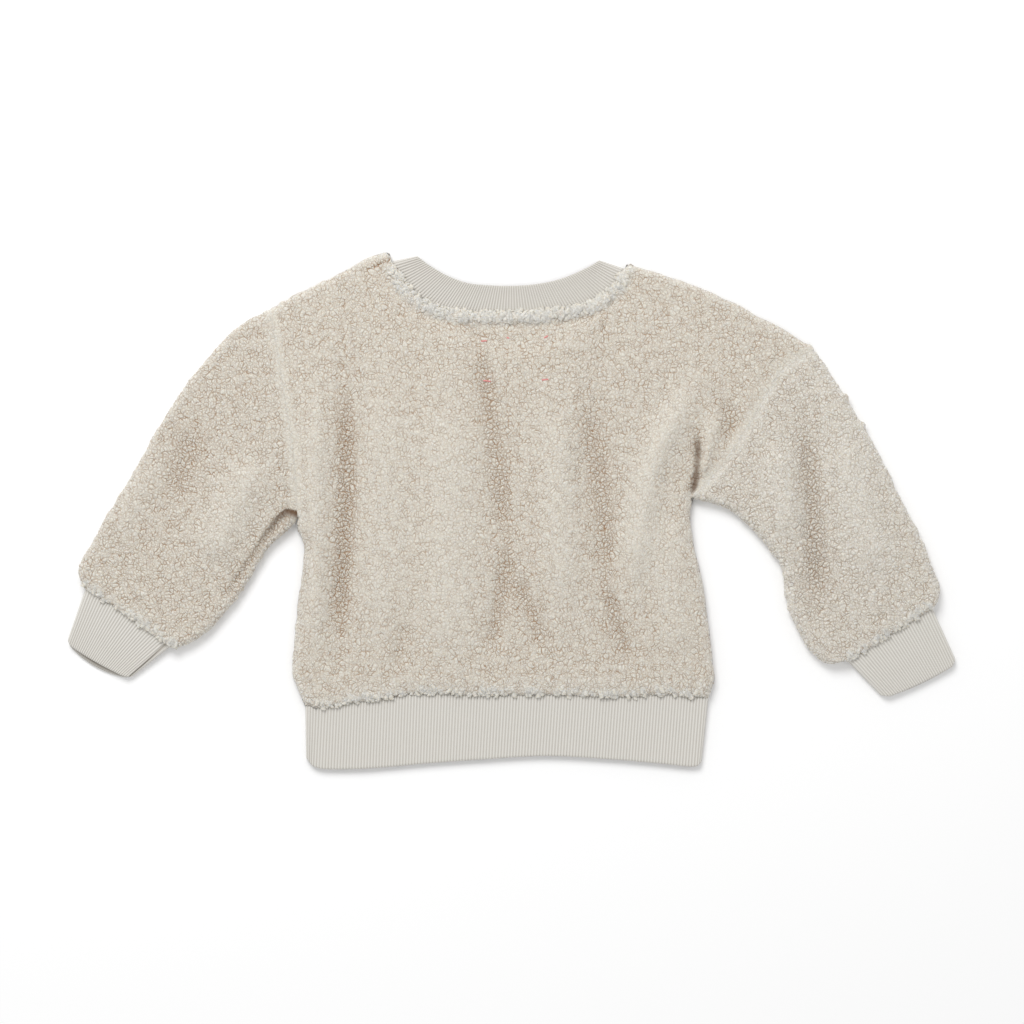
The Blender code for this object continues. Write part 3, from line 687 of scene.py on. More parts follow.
Near = namedtuple("Near", "share reach fade")
COMBED_BY_SEAM = Near(0.4, 6.5, 4.0)
FLAT_BY_SEAM = Near(1.0, 2.0, 2.0)
LONG_IN_FRILL = Near(0.8, 10.0, 3.0)
LONG_BY_HEM = Near(0.6, 8.0, 4.0)
# How much paler the pile is painted: in the frill and by the hem a paler tone together with painted light on
# their shaded rounding; by the folded edges and on ridges painted highlight.
PALE_AND_LIT_IN_FRILL = Near(0.6, 10.0, 3.0)
PALE_AND_LIT_BY_HEM = Near(0.4, 16.0, 12.0)
RIM_HIGHLIGHT_BY_EDGE = Near(0.5, 9.0, 9.0)
HIGHLIGHT_ON_RIDGE = 0.1
RIDGE_FADE = 3.0

Wave = namedtuple("Wave", "size length seed")
FRILL_SWAY = [Wave(0.7, 7.0, 21)]
FRILL_LUMPS = [Wave(0.45, 4.0, 22)]
FINE_FRILL_LUMPS = [Wave(0.35, 2.2, 23)]
BODY_TUFTS = [Wave(0.8, 6.0, 31), Wave(0.35, 3.0, 32)]
HEM_WAVES = [Wave(0.35, 5.0, 3), Wave(0.25, 2.3, 4)]
NECK_WAVES = [Wave(0.4, 5.5, 5), Wave(0.3, 2.5, 6)]

Fold = namedtuple("Fold", "start_x start_y middle_x middle_y end_x end_y half_width rise")
BACK_FOLDS = [
    Fold(-117.0, 98.0, -115.0, 9.0, -122.5, -103.0, 9.0, -2.6),
    Fold(-138.0, 90.0, -138.0, 0.0, -138.0, -110.0, 9.0, 3.2),
    Fold(-90.0, 95.0, -90.0, 10.0, -94.0, -100.0, 18.0, 2.2),
    Fold(-45.5, 85.0, -43.0, -15.0, -45.5, -115.0, 19.0, 2.8),
    Fold(-24.5, 128.0, -13.0, 50.0, -3.5, -30.0, 9.0, -1.8),
    Fold(-3.5, -20.0, -8.0, -60.0, -17.5, -104.0, 7.0, -1.6),
    Fold(-1.0, -40.0, 12.0, -66.0, 25.0, -100.0, 7.0, -1.6),
    Fold(32.0, 80.0, 33.0, 0.0, 38.0, -75.0, 13.0, 3.0),
    Fold(47.5, 88.0, 64.0, 4.0, 66.5, -61.0, 11.0, -1.7),
    Fold(66.5, -50.0, 74.0, -80.0, 84.5, -108.0, 7.0, -1.6),
    Fold(128.0, 90.0, 97.0, 30.0, 82.5, -58.0, 11.0, 4.2),
    Fold(110.0, 0.0, 112.0, -50.0, 118.0, -105.0, 14.0, 2.4),
    Fold(143.0, 70.0, 137.0, 45.0, 131.0, 22.0, 5.5, 2.2),
    Fold(146.0, 80.0, 153.0, 62.0, 155.0, 42.0, 6.0, -1.7),
    Fold(-75.0, -75.0, -78.0, -94.0, -82.5, -112.0, 5.5, -1.4),
]
ARMPIT_CREASES = [
    Fold(129.5, 58.0, 130.0, 36.0, 125.5, 4.0, 3.4, -2.8),
]


def neck_seam(at):
    """The back's neckline, at these fractions of its way from end to end."""
    return smooth_line(column(NECK_BACK, "seam_x", "seam_y"), at)


def bell(gap, width):
    """Falls from 1 at no gap to almost 0 at twice the width."""
    return np.exp(-((gap / width) ** 2))


def near(gap, what):
    """Rises from 0 at the reach to the share nearer by, over the width of the fade."""
    return what.share * ease((what.reach - gap) / what.fade)


def fold_relief(points, folds):
    """How far the folds lift the cloth at each point. A fold fades out towards both of its ends."""
    relief = np.zeros(points.shape[:-1])
    for fold in folds:
        line = smooth_line([fold[0:2], fold[2:4], fold[4:6]], np.linspace(0, 1, 17))
        gap, along = distance_to(points, line)
        fade = ease(along / FOLD_END) * ease((1 - along) / FOLD_END)
        strength = LEFT_AT_FOLD_END + (1 - LEFT_AT_FOLD_END) * fade
        relief += fold.rise * bell(gap, fold.half_width) * strength
    return relief


def back_lift(points):
    """How high the back layer's underside lies: on the front, or inside its neckline on its neckband."""
    middle = (LEFT_NECK_POINT + RIGHT_NECK_POINT) / 2
    half = (RIGHT_NECK_POINT - LEFT_NECK_POINT) / 2
    width = np.linalg.norm(half)
    sideways = (points[..., :2] - middle) @ (half / width)
    upwards = (points[..., :2] - middle) @ (np.array([-half[1], half[0]]) / width)
    reach = np.hypot(sideways, upwards)
    level = np.maximum(np.hypot(sideways / width, upwards / NECK_FRONT_DROP), 1e-6)
    outside = reach - reach / level
    on_band = RIB_WALL + SEAM_GAP
    return on_band + (BACK_UNDERSIDE - on_band) * ease((outside + NECKBAND_WIDTH) / NECKBAND_WIDTH)


def wander(places, wave):
    """Smooth noise along a line, up to the wave's size either way."""
    knots = np.random.default_rng(wave.seed).uniform(-1, 1, int(np.ptp(places) / wave.length) + 3)
    at = (places - places.min()) / wave.length
    low = at.astype(int)
    return wave.size * (knots[low] + (knots[low + 1] - knots[low]) * ease(at - low))


def uneven(places, middle, waves):
    """Values that wander about a middle one along a line."""
    for wave in waves:
        middle = middle + wander(places, wave)
    return middle


def shaded(relief):
    """How much shade is painted into the bottom of a fold."""
    return np.clip(-relief / DARKEST_DEPTH, 0, MOST_SHADED)


def loosened(relief, usual):
    """How open the pile stands: more than usual down in a fold, and less on its ridges."""
    change = np.where(relief < 0, LOOSER_PER_MM, CALMER_PER_MM) * relief
    return np.clip(usual - change, LEAST_LOOSENESS, 1)


Gaps = namedtuple("Gaps", "armhole neck hem folded")


def back_gaps(plan, of_neck, of_arms):
    """How far each point is from the armholes, the neckline, the hem and the folded edges."""
    armhole = np.minimum(*(distance_to(plan, plan[of_arms, side][::4])[0] for side in (0, -1)))
    neck, hem = (distance_to(plan, line[::4])[0] for line in (plan[-1, of_neck], plan[0]))
    return Gaps(armhole, neck, hem, folded_gap(plan))


def back_relief(plan, gaps):
    """How far the back's folds and its creases by the armholes lift it, and how far the creases alone do."""
    seams = np.minimum(np.minimum(gaps.armhole, gaps.neck), gaps.hem)
    calm = ease(seams / CALM_BY_SEAM) * ease((gaps.folded - 1) / CALM_BY_EDGE)
    relief = FOLD_LIFT * fold_relief(plan, BACK_FOLDS) * calm
    crease = fold_relief(plan, ARMPIT_CREASES) * ease(gaps.armhole / SEAM_FADE)
    crease = crease * ease(gaps.folded / SEAM_FADE)
    return relief + crease, crease


def back_frill(plan):
    """How wide the frill of pile along the neckline is at each point, and how lumpy."""
    along = plan[..., 0]
    lumps = uneven(along, 1, FRILL_LUMPS)
    return uneven(along, FRILL_WIDTH, FRILL_SWAY), uneven(along + plan[..., 1], lumps, FINE_FRILL_LUMPS)


def back_heights(lift, relief, gaps, frill_width, lumps):
    """How high the pile lies: lower by seams, higher in the frill, and round at the bands and the edges."""
    top = lift + SHERPA_WALL + relief - SEAM_SINK * bell(gaps.armhole, SEAM_SINK_REACH)
    past_frill = gaps.neck - frill_width
    top += FRILL_RISE * lumps * bell(past_frill, FRILL_ROUND)
    top -= FRILL_GROOVE * bell(past_frill - GROOVE_PAST_FRILL, GROOVE_ROUND)
    for on_band, gap in ((lift + RIB_WALL - SUNK, gaps.neck), (BAND_HEIGHTS[0] - SUNK, gaps.hem)):
        top = on_band + (top - on_band) * round_off(gap, BAND_EDGE_ROUND)
    edge = lift + EDGE_FACE - EDGE_HANG * ease(1 - gaps.folded)
    return edge + (top - edge) * round_off(gaps.folded, EDGE_RADIUS)


def back_underside(lift, relief, gaps, of_neck):
    """How high the inside lies. Its first and last rows rise to the undersides of the seams at the bands."""
    underside = lift + UNDERSIDE_SHARE * np.maximum(relief, 0)
    inside_corner = ease((gaps.folded - 1) / 5)
    to_hem_band = (BAND_HEIGHTS[0] - SUNK - UNDER_SEAM - lift) * inside_corner
    to_neckband = (lift + RIB_WALL - SUNK - UNDER_SEAM - lift) * inside_corner
    underside[0] += to_hem_band[0]
    underside[-1, of_neck] += to_neckband[-1, of_neck]
    return underside


def back_pushed_out(plan, gaps, away_from_corner):
    """The back's plan with tufts of pile past its folded edges, and its pile over the bands' seams."""
    along = plan[..., 0]
    tufts = TUFT * uneven(along + plan[..., 1], 1, BODY_TUFTS)
    tufts = tufts * ease(1 - gaps.folded / EDGE_RADIUS) * ease(gaps.armhole / SEAM_FADE)
    tufts += SEAM_END_BUMP * bell(np.linalg.norm(plan - RIGHT_SEAM_END, axis=-1), BUMP_REACH)
    tufts *= away_from_corner
    hem_push = HEM_OVERHANG * (1 - ease(gaps.hem / OVERHANG_REACH)) * uneven(along, 1, HEM_WAVES)
    neck_push = OVERHANG * (1 - ease(gaps.neck / OVERHANG_REACH)) * uneven(along, 1, NECK_WAVES)
    neck_push *= away_from_corner
    to_neck = NECK_MIDDLE - plan
    to_neck /= np.linalg.norm(to_neck, axis=-1)[..., None]
    plan = plan + hem_push[..., None] * (0, -1) + neck_push[..., None] * to_neck
    return plan + tufts[..., None] * outwards(plan)


def back_looks(plan, gaps, relief, crease, frill_width, lumps):
    """How loose the pile is at each point, how much shade is painted on it, and how much paler it is, partly
    a paler tone and partly painted highlight.
    """
    patch = bell(distance_to(plan, BARE_PATCH)[0], PATCH_REACH)
    loose = loosened(relief, BACK_LOOSENESS) * (1 - near(gaps.armhole, COMBED_BY_SEAM))
    # Painted shade: in the folds and the armpit crease, and a painted shadow line in the groove behind the
    # frill.
    groove = ease(1 - np.abs(gaps.neck - frill_width - GROOVE_PAST_FRILL) / 2)
    shade = shaded(relief + CREASE_SHADE * crease) + GROOVE_SHADE * groove * lumps
    cool = HIGHLIGHT_ON_RIDGE * ease(relief / RIDGE_FADE) + near(gaps.neck, PALE_AND_LIT_IN_FRILL)
    cool = cool + near(gaps.hem, PALE_AND_LIT_BY_HEM) + near(gaps.folded, RIM_HIGHLIGHT_BY_EDGE)
    return np.maximum(loose, patch), shade + PATCH_DARKENING * patch, np.clip(cool - patch, 0, 1)


def make_back():
    """The back's wall: a fine outside above, with its folds and its pile, and a plain inside below."""
    across, up = body_stations(BACK_ACROSS, BACK_UP)
    plan = body_plan(neck_seam, across, up)
    of_neck = (across >= LEFT_NECK_AT) & (across <= RIGHT_NECK_AT)
    gaps = back_gaps(plan, of_neck, up >= ARMPIT_AT)
    corners = [np.linalg.norm(plan - point, axis=-1) for point in (LEFT_NECK_POINT, RIGHT_NECK_POINT)]
    away_from_corner = ease(np.minimum(*corners) / NECK_CORNER_REACH)
    relief, crease = back_relief(plan, gaps)
    frill_width, lumps = back_frill(plan)
    lift = back_lift(plan)
    top = back_heights(lift, relief, gaps, frill_width, lumps)
    rows, columns = every(len(up), INNER_STEP), every(len(across), INNER_STEP)
    of_inner = np.ix_(rows, columns)
    inner_plan = plan - EDGE_SET_IN * outwards(plan) * ease(1 - gaps.folded / 2)[..., None]
    inner = with_height(inner_plan, back_underside(lift, relief, gaps, of_neck))[of_inner]
    plan = back_pushed_out(plan, gaps, away_from_corner)
    outer = with_height(plan, top)
    piece = cloth_wall("back_panel_fleece", outer, inner, rows, columns)
    loose, shade, cool = back_looks(plan, gaps, relief, crease, frill_width, lumps)
    longer = 1 + near(gaps.neck, LONG_IN_FRILL) + near(gaps.hem, LONG_BY_HEM)
    depth = (1 - near(gaps.armhole, FLAT_BY_SEAM)) * longer * away_from_corner
    mark(piece, of_inner, pile_at=outer * BODY_PILE, loose=loose, shade=shade, cool=cool)
    mark(piece, pile_depth=depth)
    run_tree(piece, curled_pile, Depth=PILE_DEPTH * MM, Pile=sherpa)
    return piece


back = make_back()
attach(back, "root")
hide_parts("back_panel")


# Sleeves
# Each sleeve is one cut piece of sherpa fleece, sewn into a tube under the arm and set into a dropped
# armhole. It lies flattened, and the left one has a deep crease where it bends under the arm.

SleeveSection = namedtuple("SleeveSection", "top_x top_y under_x under_y")
SLEEVE_LEFT = [
    SleeveSection(-169.5, 142.5, -150.0, -4.0),
    SleeveSection(-194.0, 128.0, -154.5, -9.5),
    SleeveSection(-214.0, 106.5, -160.0, -14.5),
    SleeveSection(-231.0, 86.0, -166.5, -20.5),
    SleeveSection(-249.0, 57.0, -174.5, -30.0),
    SleeveSection(-268.0, 23.0, -184.5, -47.5),
    SleeveSection(-285.5, -5.5, -195.0, -62.5),
    SleeveSection(-297.0, -26.5, -208.0, -78.0),
    SleeveSection(-303.5, -40.0, -224.0, -90.5),
    SleeveSection(-302.0, -48.5, -234.5, -95.0),
]
SLEEVE_RIGHT = [
    SleeveSection(211.5, 114.0, 126.0, 10.0),
    SleeveSection(225.5, 93.0, 139.5, 7.0),
    SleeveSection(238.5, 72.0, 153.5, 1.5),
    SleeveSection(252.0, 51.0, 168.0, -12.0),
    SleeveSection(262.5, 30.0, 181.0, -26.5),
    SleeveSection(272.5, 9.0, 189.0, -39.0),
    SleeveSection(283.5, -12.0, 191.5, -58.0),
    SleeveSection(292.5, -33.0, 197.0, -76.0),
    SleeveSection(298.0, -48.0, 206.5, -93.0),
    SleeveSection(299.5, -57.0, 220.0, -105.5),
    SleeveSection(297.0, -63.5, 231.5, -105.0),
]
LEFT_SLEEVE_FOLDS = [
    Fold(-155.5, 2.0, -175.0, -24.0, -201.0, -63.0, 3.2, -2.5),
    Fold(-176.0, 40.0, -196.0, 0.0, -216.0, -38.0, 15.0, 3.6),
    Fold(-222.0, 60.0, -228.0, 38.0, -242.0, 8.0, 12.0, -1.2),
    Fold(-246.0, 36.0, -262.0, 8.0, -278.0, -24.0, 12.0, 1.6),
]
RIGHT_SLEEVE_FOLDS = [
    Fold(203.5, 66.0, 209.0, 10.0, 215.0, -70.0, 9.0, -2.0),
    Fold(184.0, 50.0, 188.0, 20.0, 196.0, -20.0, 12.0, 3.2),
    Fold(228.0, 60.0, 240.0, 15.0, 258.0, -50.0, 16.0, 3.4),
    Fold(212.0, 92.0, 226.0, 74.0, 238.0, 50.0, 9.0, 1.2),
]
LEFT_UNDERARM_CREASE = np.array([
    (-149.5, 0.5),
    (-158.2, 2.1),
    (-164.5, -3.2),
    (-173.6, -14.4),
    (-180.6, -27.7),
    (-188.3, -42.4),
    (-196.7, -55.7),
])
LOBE_SHADE_REACH = 6.0
OVERHANG_SHADE_REACH = 1.2
RIGHT_SEAM_BUMPS = [(np.array([231.7, 79.5]), 2.8), (np.array([245.7, 61.3]), 1.8)]
SLEEVE_WIDTH = 115
SLEEVE_OVER = 150
SLEEVE_UNDER = 80
CUFF_WAVES = [Wave(0.35, 5.0, 13), Wave(0.25, 2.3, 14)]
SLEEVE_TUFTS = [Wave(0.8, 6.0, 33), Wave(0.35, 3.0, 34)]
USUAL_SLEEVE_TUFT = 0.9
SLEEVE_LENGTH = 200
CUFF_WIDTH = 60
SLEEVE_LOOSENESS = 0.76
PALER_BY_CUFF = Near(0.3, 8.0, 4.0)
LAYER_GAP = 0.8
TUCK_REACH = 0.2
SEAM_LAP = 1.5
SLEEVE_PILE = (1.1, 1.1, 1.1)


def tuck_in(places, most):
    """Moves the places near both ends inwards, so that the inside of a fold leaves room for the wall."""
    near_start = np.clip(1 - places / TUCK_REACH, 0, 1) ** 2
    near_end = np.clip(1 - (1 - places) / TUCK_REACH, 0, 1) ** 2
    return places + most * (near_start - near_end)


def read_lines(lines, across, places):
    """Reads each line of a grid at other fractions of its width."""
    return np.stack([np.column_stack([np.interp(places, across, axis) for axis in line.T]) for line in lines])


def flat_tube(
    name, across, upper, heights, insides, under_across, lower, wall, row_step, column_step, dive=0
):
    """A flattened tube of cloth: its piece, its outer points, and which of them its inner points lie behind.

    The upper layer's lines run across the tube with the heights of its top and of its underside. The lower
    layer's lines lie on the surface, or a little above it where they dive into another piece. A section goes
    over the upper line and back under the lower line.
    """
    middle = (heights[:, :1] + heights[:, -1:]) / 4
    width = np.linalg.norm(np.diff(upper, axis=1), axis=2).sum(1)[:, None]
    radius = np.minimum(EDGE_RADIUS, heights[:, :1] / 2)
    rounding = round_off(width * np.minimum(across, 1 - across), radius)
    under_rounding = round_off(width * np.minimum(under_across, 1 - under_across), radius)
    gap = LAYER_GAP / 2
    back_under = slice(-2, 0, -1)
    outer_top = with_height(upper, middle + (heights - middle) * rounding)
    outer_under = with_height(lower, middle * (1 - under_rounding) + dive)[:, back_under]
    outer = np.concatenate([outer_top, outer_under], axis=1)
    rows = sorted({*every(len(upper), row_step), len(upper) - 4})
    over, under = every(len(across), column_step), every(len(under_across), column_step)
    spread = wall / width[:, 0].mean()
    high_in = read_lines(upper[rows], across, tuck_in(across[over], spread))
    low_in = read_lines(lower[rows], under_across, tuck_in(under_across[under], spread))
    inner_top = middle + gap + np.maximum(insides - middle - gap, 0) * rounding
    inner_top = with_height(high_in, inner_top[np.ix_(rows, over)])
    lower_top = np.minimum(wall, middle - gap)
    inner_under = middle - gap - (middle - gap - lower_top) * under_rounding
    inner_under = with_height(low_in, inner_under[np.ix_(rows, under)])[:, back_under]
    inner = np.concatenate([inner_top, inner_under], axis=1)
    last = len(across) - 1
    columns = over + [last + len(under_across) - 1 - place for place in reversed(under[1:-1])]
    return cloth_wall(name, outer, inner, rows, columns, is_ring=True), outer, np.ix_(rows, columns)


def sleeve_plan(sections, armhole, rows_at, across):
    """A grid of points over a sleeve in plan, how each row runs across it, and which way its end points.

    The first rows follow the curve of the armhole, and the very first lies a little inside the body.
    """
    rows = smooth_line(sections, rows_at)
    seam = smooth_line(armhole, 1 - across)
    bow = seam - (seam[0] + across[:, None] * (seam[-1] - seam[0]))
    run = rows[:, None, 2:] - rows[:, None, :2]
    fade = np.clip(1 - 2 * rows_at, 0, 1)[:, None, None] ** 1.5
    plan = rows[:, None, :2] + across[:, None] * run + bow * fade
    ahead = plan[5] - plan[1]
    plan[0] -= SEAM_LAP * ahead / np.linalg.norm(ahead, axis=-1)[:, None]
    return plan, run, rows[-1, :2] - rows[-9, :2] + rows[-1, 2:] - rows[-9, 2:]


SleeveGaps = namedtuple("SleeveGaps", "armhole cuff folded")


def sleeve_pushed_out(plan, run, ahead, gaps, rows_at, across, bumps):
    """A sleeve's plan with its pile over the seam at the cuff, and tufts of it past both folded edges."""
    along = np.broadcast_to(across * CUFF_WIDTH, plan.shape[:2])
    push = OVERHANG * (1 - ease(gaps.cuff / OVERHANG_REACH)) * ease(gaps.folded / 4)
    push *= uneven(along, 1, CUFF_WAVES)
    plan = plan + push[..., None] * ahead / np.linalg.norm(ahead)
    along = np.broadcast_to(rows_at[:, None] * SLEEVE_LENGTH, plan.shape[:2])
    tufts = TUFT * uneven(along, USUAL_SLEEVE_TUFT, SLEEVE_TUFTS) * ease(1 - gaps.folded / EDGE_RADIUS)
    for place, size in bumps:
        tufts += size * bell(np.linalg.norm(plan - place, axis=-1), BUMP_REACH)
    tufts = tufts * np.sign(across - 0.5) * ease(gaps.armhole / SEAM_FADE)
    return plan + tufts[..., None] * run / np.linalg.norm(run, axis=2)[..., None]


def sleeve_looks(plan, gaps, relief, creases, coolness):
    """How loose the pile of a sleeve's upper layer is, how much shade is painted on it, and how much paler it
    is, partly a paler tone and partly painted highlight.
    """
    loose = loosened(relief, SLEEVE_LOOSENESS) * (1 - near(gaps.armhole, COMBED_BY_SEAM))
    shade = shaded(relief)
    for crease in creases:
        gap, along_crease = distance_to(plan, crease)
        on_lobe = plan[..., 1] < np.interp(plan[..., 0], crease[::-1, 0], crease[::-1, 1])
        fall_off = np.where(on_lobe, LOBE_SHADE_REACH, OVERHANG_SHADE_REACH)
        shade = np.maximum(shade, bell(gap, fall_off) * (1 - along_crease))
    cool = coolness + HIGHLIGHT_ON_RIDGE * ease(relief / RIDGE_FADE)
    cool = cool + near(gaps.folded, RIM_HIGHLIGHT_BY_EDGE) + near(gaps.cuff, PALER_BY_CUFF)
    return loose, shade, np.clip(cool, 0, 1)


def make_sleeve(name, node, sections, armhole, folds, creases, bumps, rows_count, coolness):
    """A sleeve from its armhole seam to its cuff.

    Deep shade is painted along the creases. The bumps are places where the outline stands out by some amount.
    """
    across = stations([(0, 1, SLEEVE_OVER)], SLEEVE_WIDTH)
    under_across = stations([(0, 1, SLEEVE_UNDER)], SLEEVE_WIDTH)
    rows_at = np.concatenate([[0], np.linspace(0, 1, rows_count)])
    plan, run, ahead = sleeve_plan(sections, armhole, rows_at, across)
    lower = read_lines(plan, across, under_across)
    from_armhole, from_cuff = (distance_to(plan, plan[row, ::4])[0] for row in (1, -1))
    gaps = SleeveGaps(from_armhole, from_cuff, np.linalg.norm(run, axis=2) * np.minimum(across, 1 - across))
    calm = ease(np.minimum(gaps.armhole, gaps.cuff) / CALM_BY_SEAM) * ease(gaps.folded / CALM_BY_EDGE)
    relief = FOLD_LIFT * fold_relief(plan, folds) * calm
    heights = BACK_TOP + relief - SEAM_SINK * bell(gaps.armhole, SEAM_SINK_REACH)
    on_cuff = BAND_HEIGHTS[0] - SUNK
    heights = on_cuff + (heights - on_cuff) * round_off(gaps.cuff, BAND_EDGE_ROUND)
    heights[0] -= SEAM_LAP
    insides = (heights[:, :1] + heights[:, -1:]) / 4 + LAYER_GAP / 2 + UNDERSIDE_SHARE * np.maximum(relief, 0)
    plan = sleeve_pushed_out(plan, run, ahead, gaps, rows_at, across, bumps)
    dive = np.where(np.arange(len(rows_at)) == 0, 1.0, 0.0)[:, None]
    layers = (across, plan, heights, insides, under_across, lower)
    piece, outer, of_inner = flat_tube(name, *layers, SHERPA_WALL, INNER_STEP, INNER_STEP, dive)
    loose, shade, cool = sleeve_looks(plan, gaps, relief, creases, coolness)
    under = ((0, 0), (0, outer.shape[1] - len(across)))
    loose = np.pad(loose, under, constant_values=HIDDEN_LOOSENESS)
    shade, cool = np.pad(shade, under), np.pad(cool, under, mode="edge")
    depth = np.pad(1 - near(gaps.armhole, FLAT_BY_SEAM), under, constant_values=FRONT_PRESSED)
    mark(piece, of_inner, pile_at=outer * SLEEVE_PILE, loose=loose, shade=shade, cool=cool)
    mark(piece, pile_depth=depth)
    run_tree(piece, curled_pile, Depth=PILE_DEPTH * MM, Pile=sherpa)
    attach(piece, "root")
    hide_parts(node)
    return piece


left_armhole, right_armhole = (column(ARMHOLES, side + "_x", side + "_y") for side in ("left", "right"))
sleeve_left = make_sleeve(
    "sleeve_left_fleece",
    "sleeve_left",
    SLEEVE_LEFT,
    left_armhole,
    LEFT_SLEEVE_FOLDS,
    [LEFT_UNDERARM_CREASE],
    [],
    rows_count=260,
    coolness=0.1,
)
sleeve_right = make_sleeve(
    "sleeve_right_fleece",
    "sleeve_right",
    SLEEVE_RIGHT,
    right_armhole,
    RIGHT_SLEEVE_FOLDS,
    [],
    RIGHT_SEAM_BUMPS,
    rows_count=240,
    coolness=0.45,
)


# Hem band
# A doubled strip of rib knit, seamed into a loop and sewn round the body's lower edge. Its ribs run from
# the seam down to the fold that is its free edge.

RIB_HEIGHT = 0.55
RIB_POINTS = 8
RIB_SHARPNESS = 0.7
BAND_ROUND = 1.1
BAND_INNER_STEP = 6
EDGE_ROWS = [0.965, 0.985, 1.0]
# Knit on the ribs, painted shade in the grooves between them, and the knit in full painted shade where it is
# marked unlit.
RIB_TOP = (0.70, 0.68, 0.635)
RIB_GROOVE_SHADE = (0.52, 0.49, 0.44)
RIB_SHADED = (0.30, 0.27, 0.23)
RIB_FINISH = {"Roughness": 0.88, "Specular IOR Level": 0.2, "Sheen Weight": 0.12}
GROOVE_NARROWNESS = 2.2
GROOVE_DEPTH = 0.5
MOTTLE_SCALE = 0.25
MOTTLE_SHARE = 0.25
LEAST_GROOVE = 0.62
STITCH_PITCH = 1.3
STITCH_HEIGHT = 0.35
KNIT_BUMP = {"Strength": 0.5, "Distance": 0.0004}
CORNER_SPAN = 7.0
PLEAT_AT_SEAM = 3.6
PLEAT_AT_MOUTH = 1.6
PLEAT_WIDTH = 0.7
PLEAT_SHADE = 0.75


def rib_material():
    """Cream rib knit: fine columns of stitches, with shade painted into the grooves between them, and more
    painted shade where the knit is marked less lit.
    """
    material, tree, shader = new_material("rib_knit", RIB_FINISH)
    rib, place = attribute(tree, "rib"), attribute(tree, "knit_at", "Vector")
    turn = add_node(tree, "ShaderNodeSeparateXYZ", inputs={0: place})
    phase = sums(tree, "MULTIPLY", turn.outputs["X"], 2 * np.pi)
    groove = sums(tree, "MULTIPLY_ADD", sums(tree, "COSINE", phase), 0.5, 0.5)
    groove = sums(tree, "POWER", groove, GROOVE_NARROWNESS)
    shade = sums(tree, "MULTIPLY_ADD", noise(tree, place, MOTTLE_SCALE, 3), MOTTLE_SHARE, LEAST_GROOVE)
    yarn = mixed(tree, sums(tree, "MULTIPLY", groove, shade), RIB_TOP, RIB_GROOVE_SHADE)
    yarn = mixed(tree, sums(tree, "SUBTRACT", 1.0, rib), yarn, RIB_SHADED)
    link(tree, yarn, shader.inputs["Base Color"])
    lean = sums(tree, "ABSOLUTE", sums(tree, "SUBTRACT", sums(tree, "FRACT", turn.outputs["X"]), 0.5))
    course = sums(tree, "MULTIPLY", sums(tree, "SUBTRACT", turn.outputs["Y"], lean), 2 * np.pi)
    stitch = sums(tree, "MULTIPLY_ADD", sums(tree, "SINE", course), 0.5, 0.5)
    stitch = sums(tree, "MULTIPLY", stitch, STITCH_HEIGHT)
    height = sums(tree, "SUBTRACT", stitch, sums(tree, "MULTIPLY", groove, GROOVE_DEPTH))
    raised(tree, shader, height, KNIT_BUMP)
    return material


rib_knit = rib_material()


def make_band(
    name,
    node,
    seam,
    free,
    heights,
    under_seam,
    under_free,
    ribs,
    rows_count,
    light=1.0,
    corner=0.0,
    pleat=0.0,
    mouth_light=0.0,
):
    """A doubled rib band, a flattened tube from its seam to its free edge, ribbed all round.

    Its free corners may be rounded by a share of its width, and its under edge may be folded into a pleat.
    """
    across = np.linspace(0, 1, ribs * RIB_POINTS + 1)
    rows_at = np.concatenate([np.linspace(0, 0.94, rows_count), EDGE_ROWS])
    width = np.linalg.norm(np.diff(seam(across), axis=0), axis=1).sum()
    from_fold = width * np.minimum(across, 1 - across)
    reach = 1 - corner * np.clip(1 - from_fold / CORNER_SPAN, 0, 1) ** 2
    reach = rows_at[:, None, None] * reach[:, None]
    lines = seam(across) + reach * (free(across) - seam(across))
    lower = under_seam(across) + reach * (under_free(across) - under_seam(across))
    high = heights(lines, rows_at)
    length = np.linalg.norm(lines[-1] - lines[0], axis=1).mean()
    to_free = length * (1 - rows_at)[:, None]
    pleat_at = PLEAT_AT_SEAM + rows_at[:, None] * (PLEAT_AT_MOUTH - PLEAT_AT_SEAM)
    pleat = pleat * bell(width * (1 - across) - pleat_at, PLEAT_WIDTH)
    ridge = (0.5 - 0.5 * np.cos(2 * np.pi * ribs * across)) ** RIB_SHARPNESS
    top = high - RIB_HEIGHT * (1 - ridge) * ease(from_fold / 2)
    top = top - BAND_ROUND * (1 - round_off(to_free, BAND_ROUND)) - pleat
    layers = (across, lines, top, high - RIB_WALL, across, lower)
    piece, outer, of_inner = flat_tube(name, *layers, RIB_WALL, BAND_INNER_STEP, RIB_POINTS)
    around = np.concatenate([across, across[-2:0:-1]])
    knit = np.broadcast_to((around * ribs)[None, :, None], (*outer.shape[:2], 1))
    down = np.broadcast_to((rows_at * length / STITCH_PITCH)[:, None, None], (*outer.shape[:2], 1))
    # Painted light on the knit: the band's given light, less painted shade in the pleat; the inside is
    # painted in full shade, but for its last row at the mouth.
    outer_light = np.full(outer.shape[:2], light)
    outer_light[:, : len(across)] -= PLEAT_SHADE * pleat
    inner_light = 0 * outer_light[of_inner]
    inner_light[-1] = mouth_light
    mark(piece, of_inner, knit_at=np.concatenate([knit, down, 0 * knit], axis=-1))
    mark(piece, rib=np.concatenate([outer_light.ravel(), inner_light.ravel()]))
    piece.data.materials.append(rib_knit)
    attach(piece, "root")
    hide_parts(node)
    return piece


def band_heights(lines, rows_at):
    """A band's top falls from its seam to its free edge."""
    fall = BAND_HEIGHTS[0] + rows_at * (BAND_HEIGHTS[1] - BAND_HEIGHTS[0])
    return np.broadcast_to(fall[:, None], lines.shape[:2])


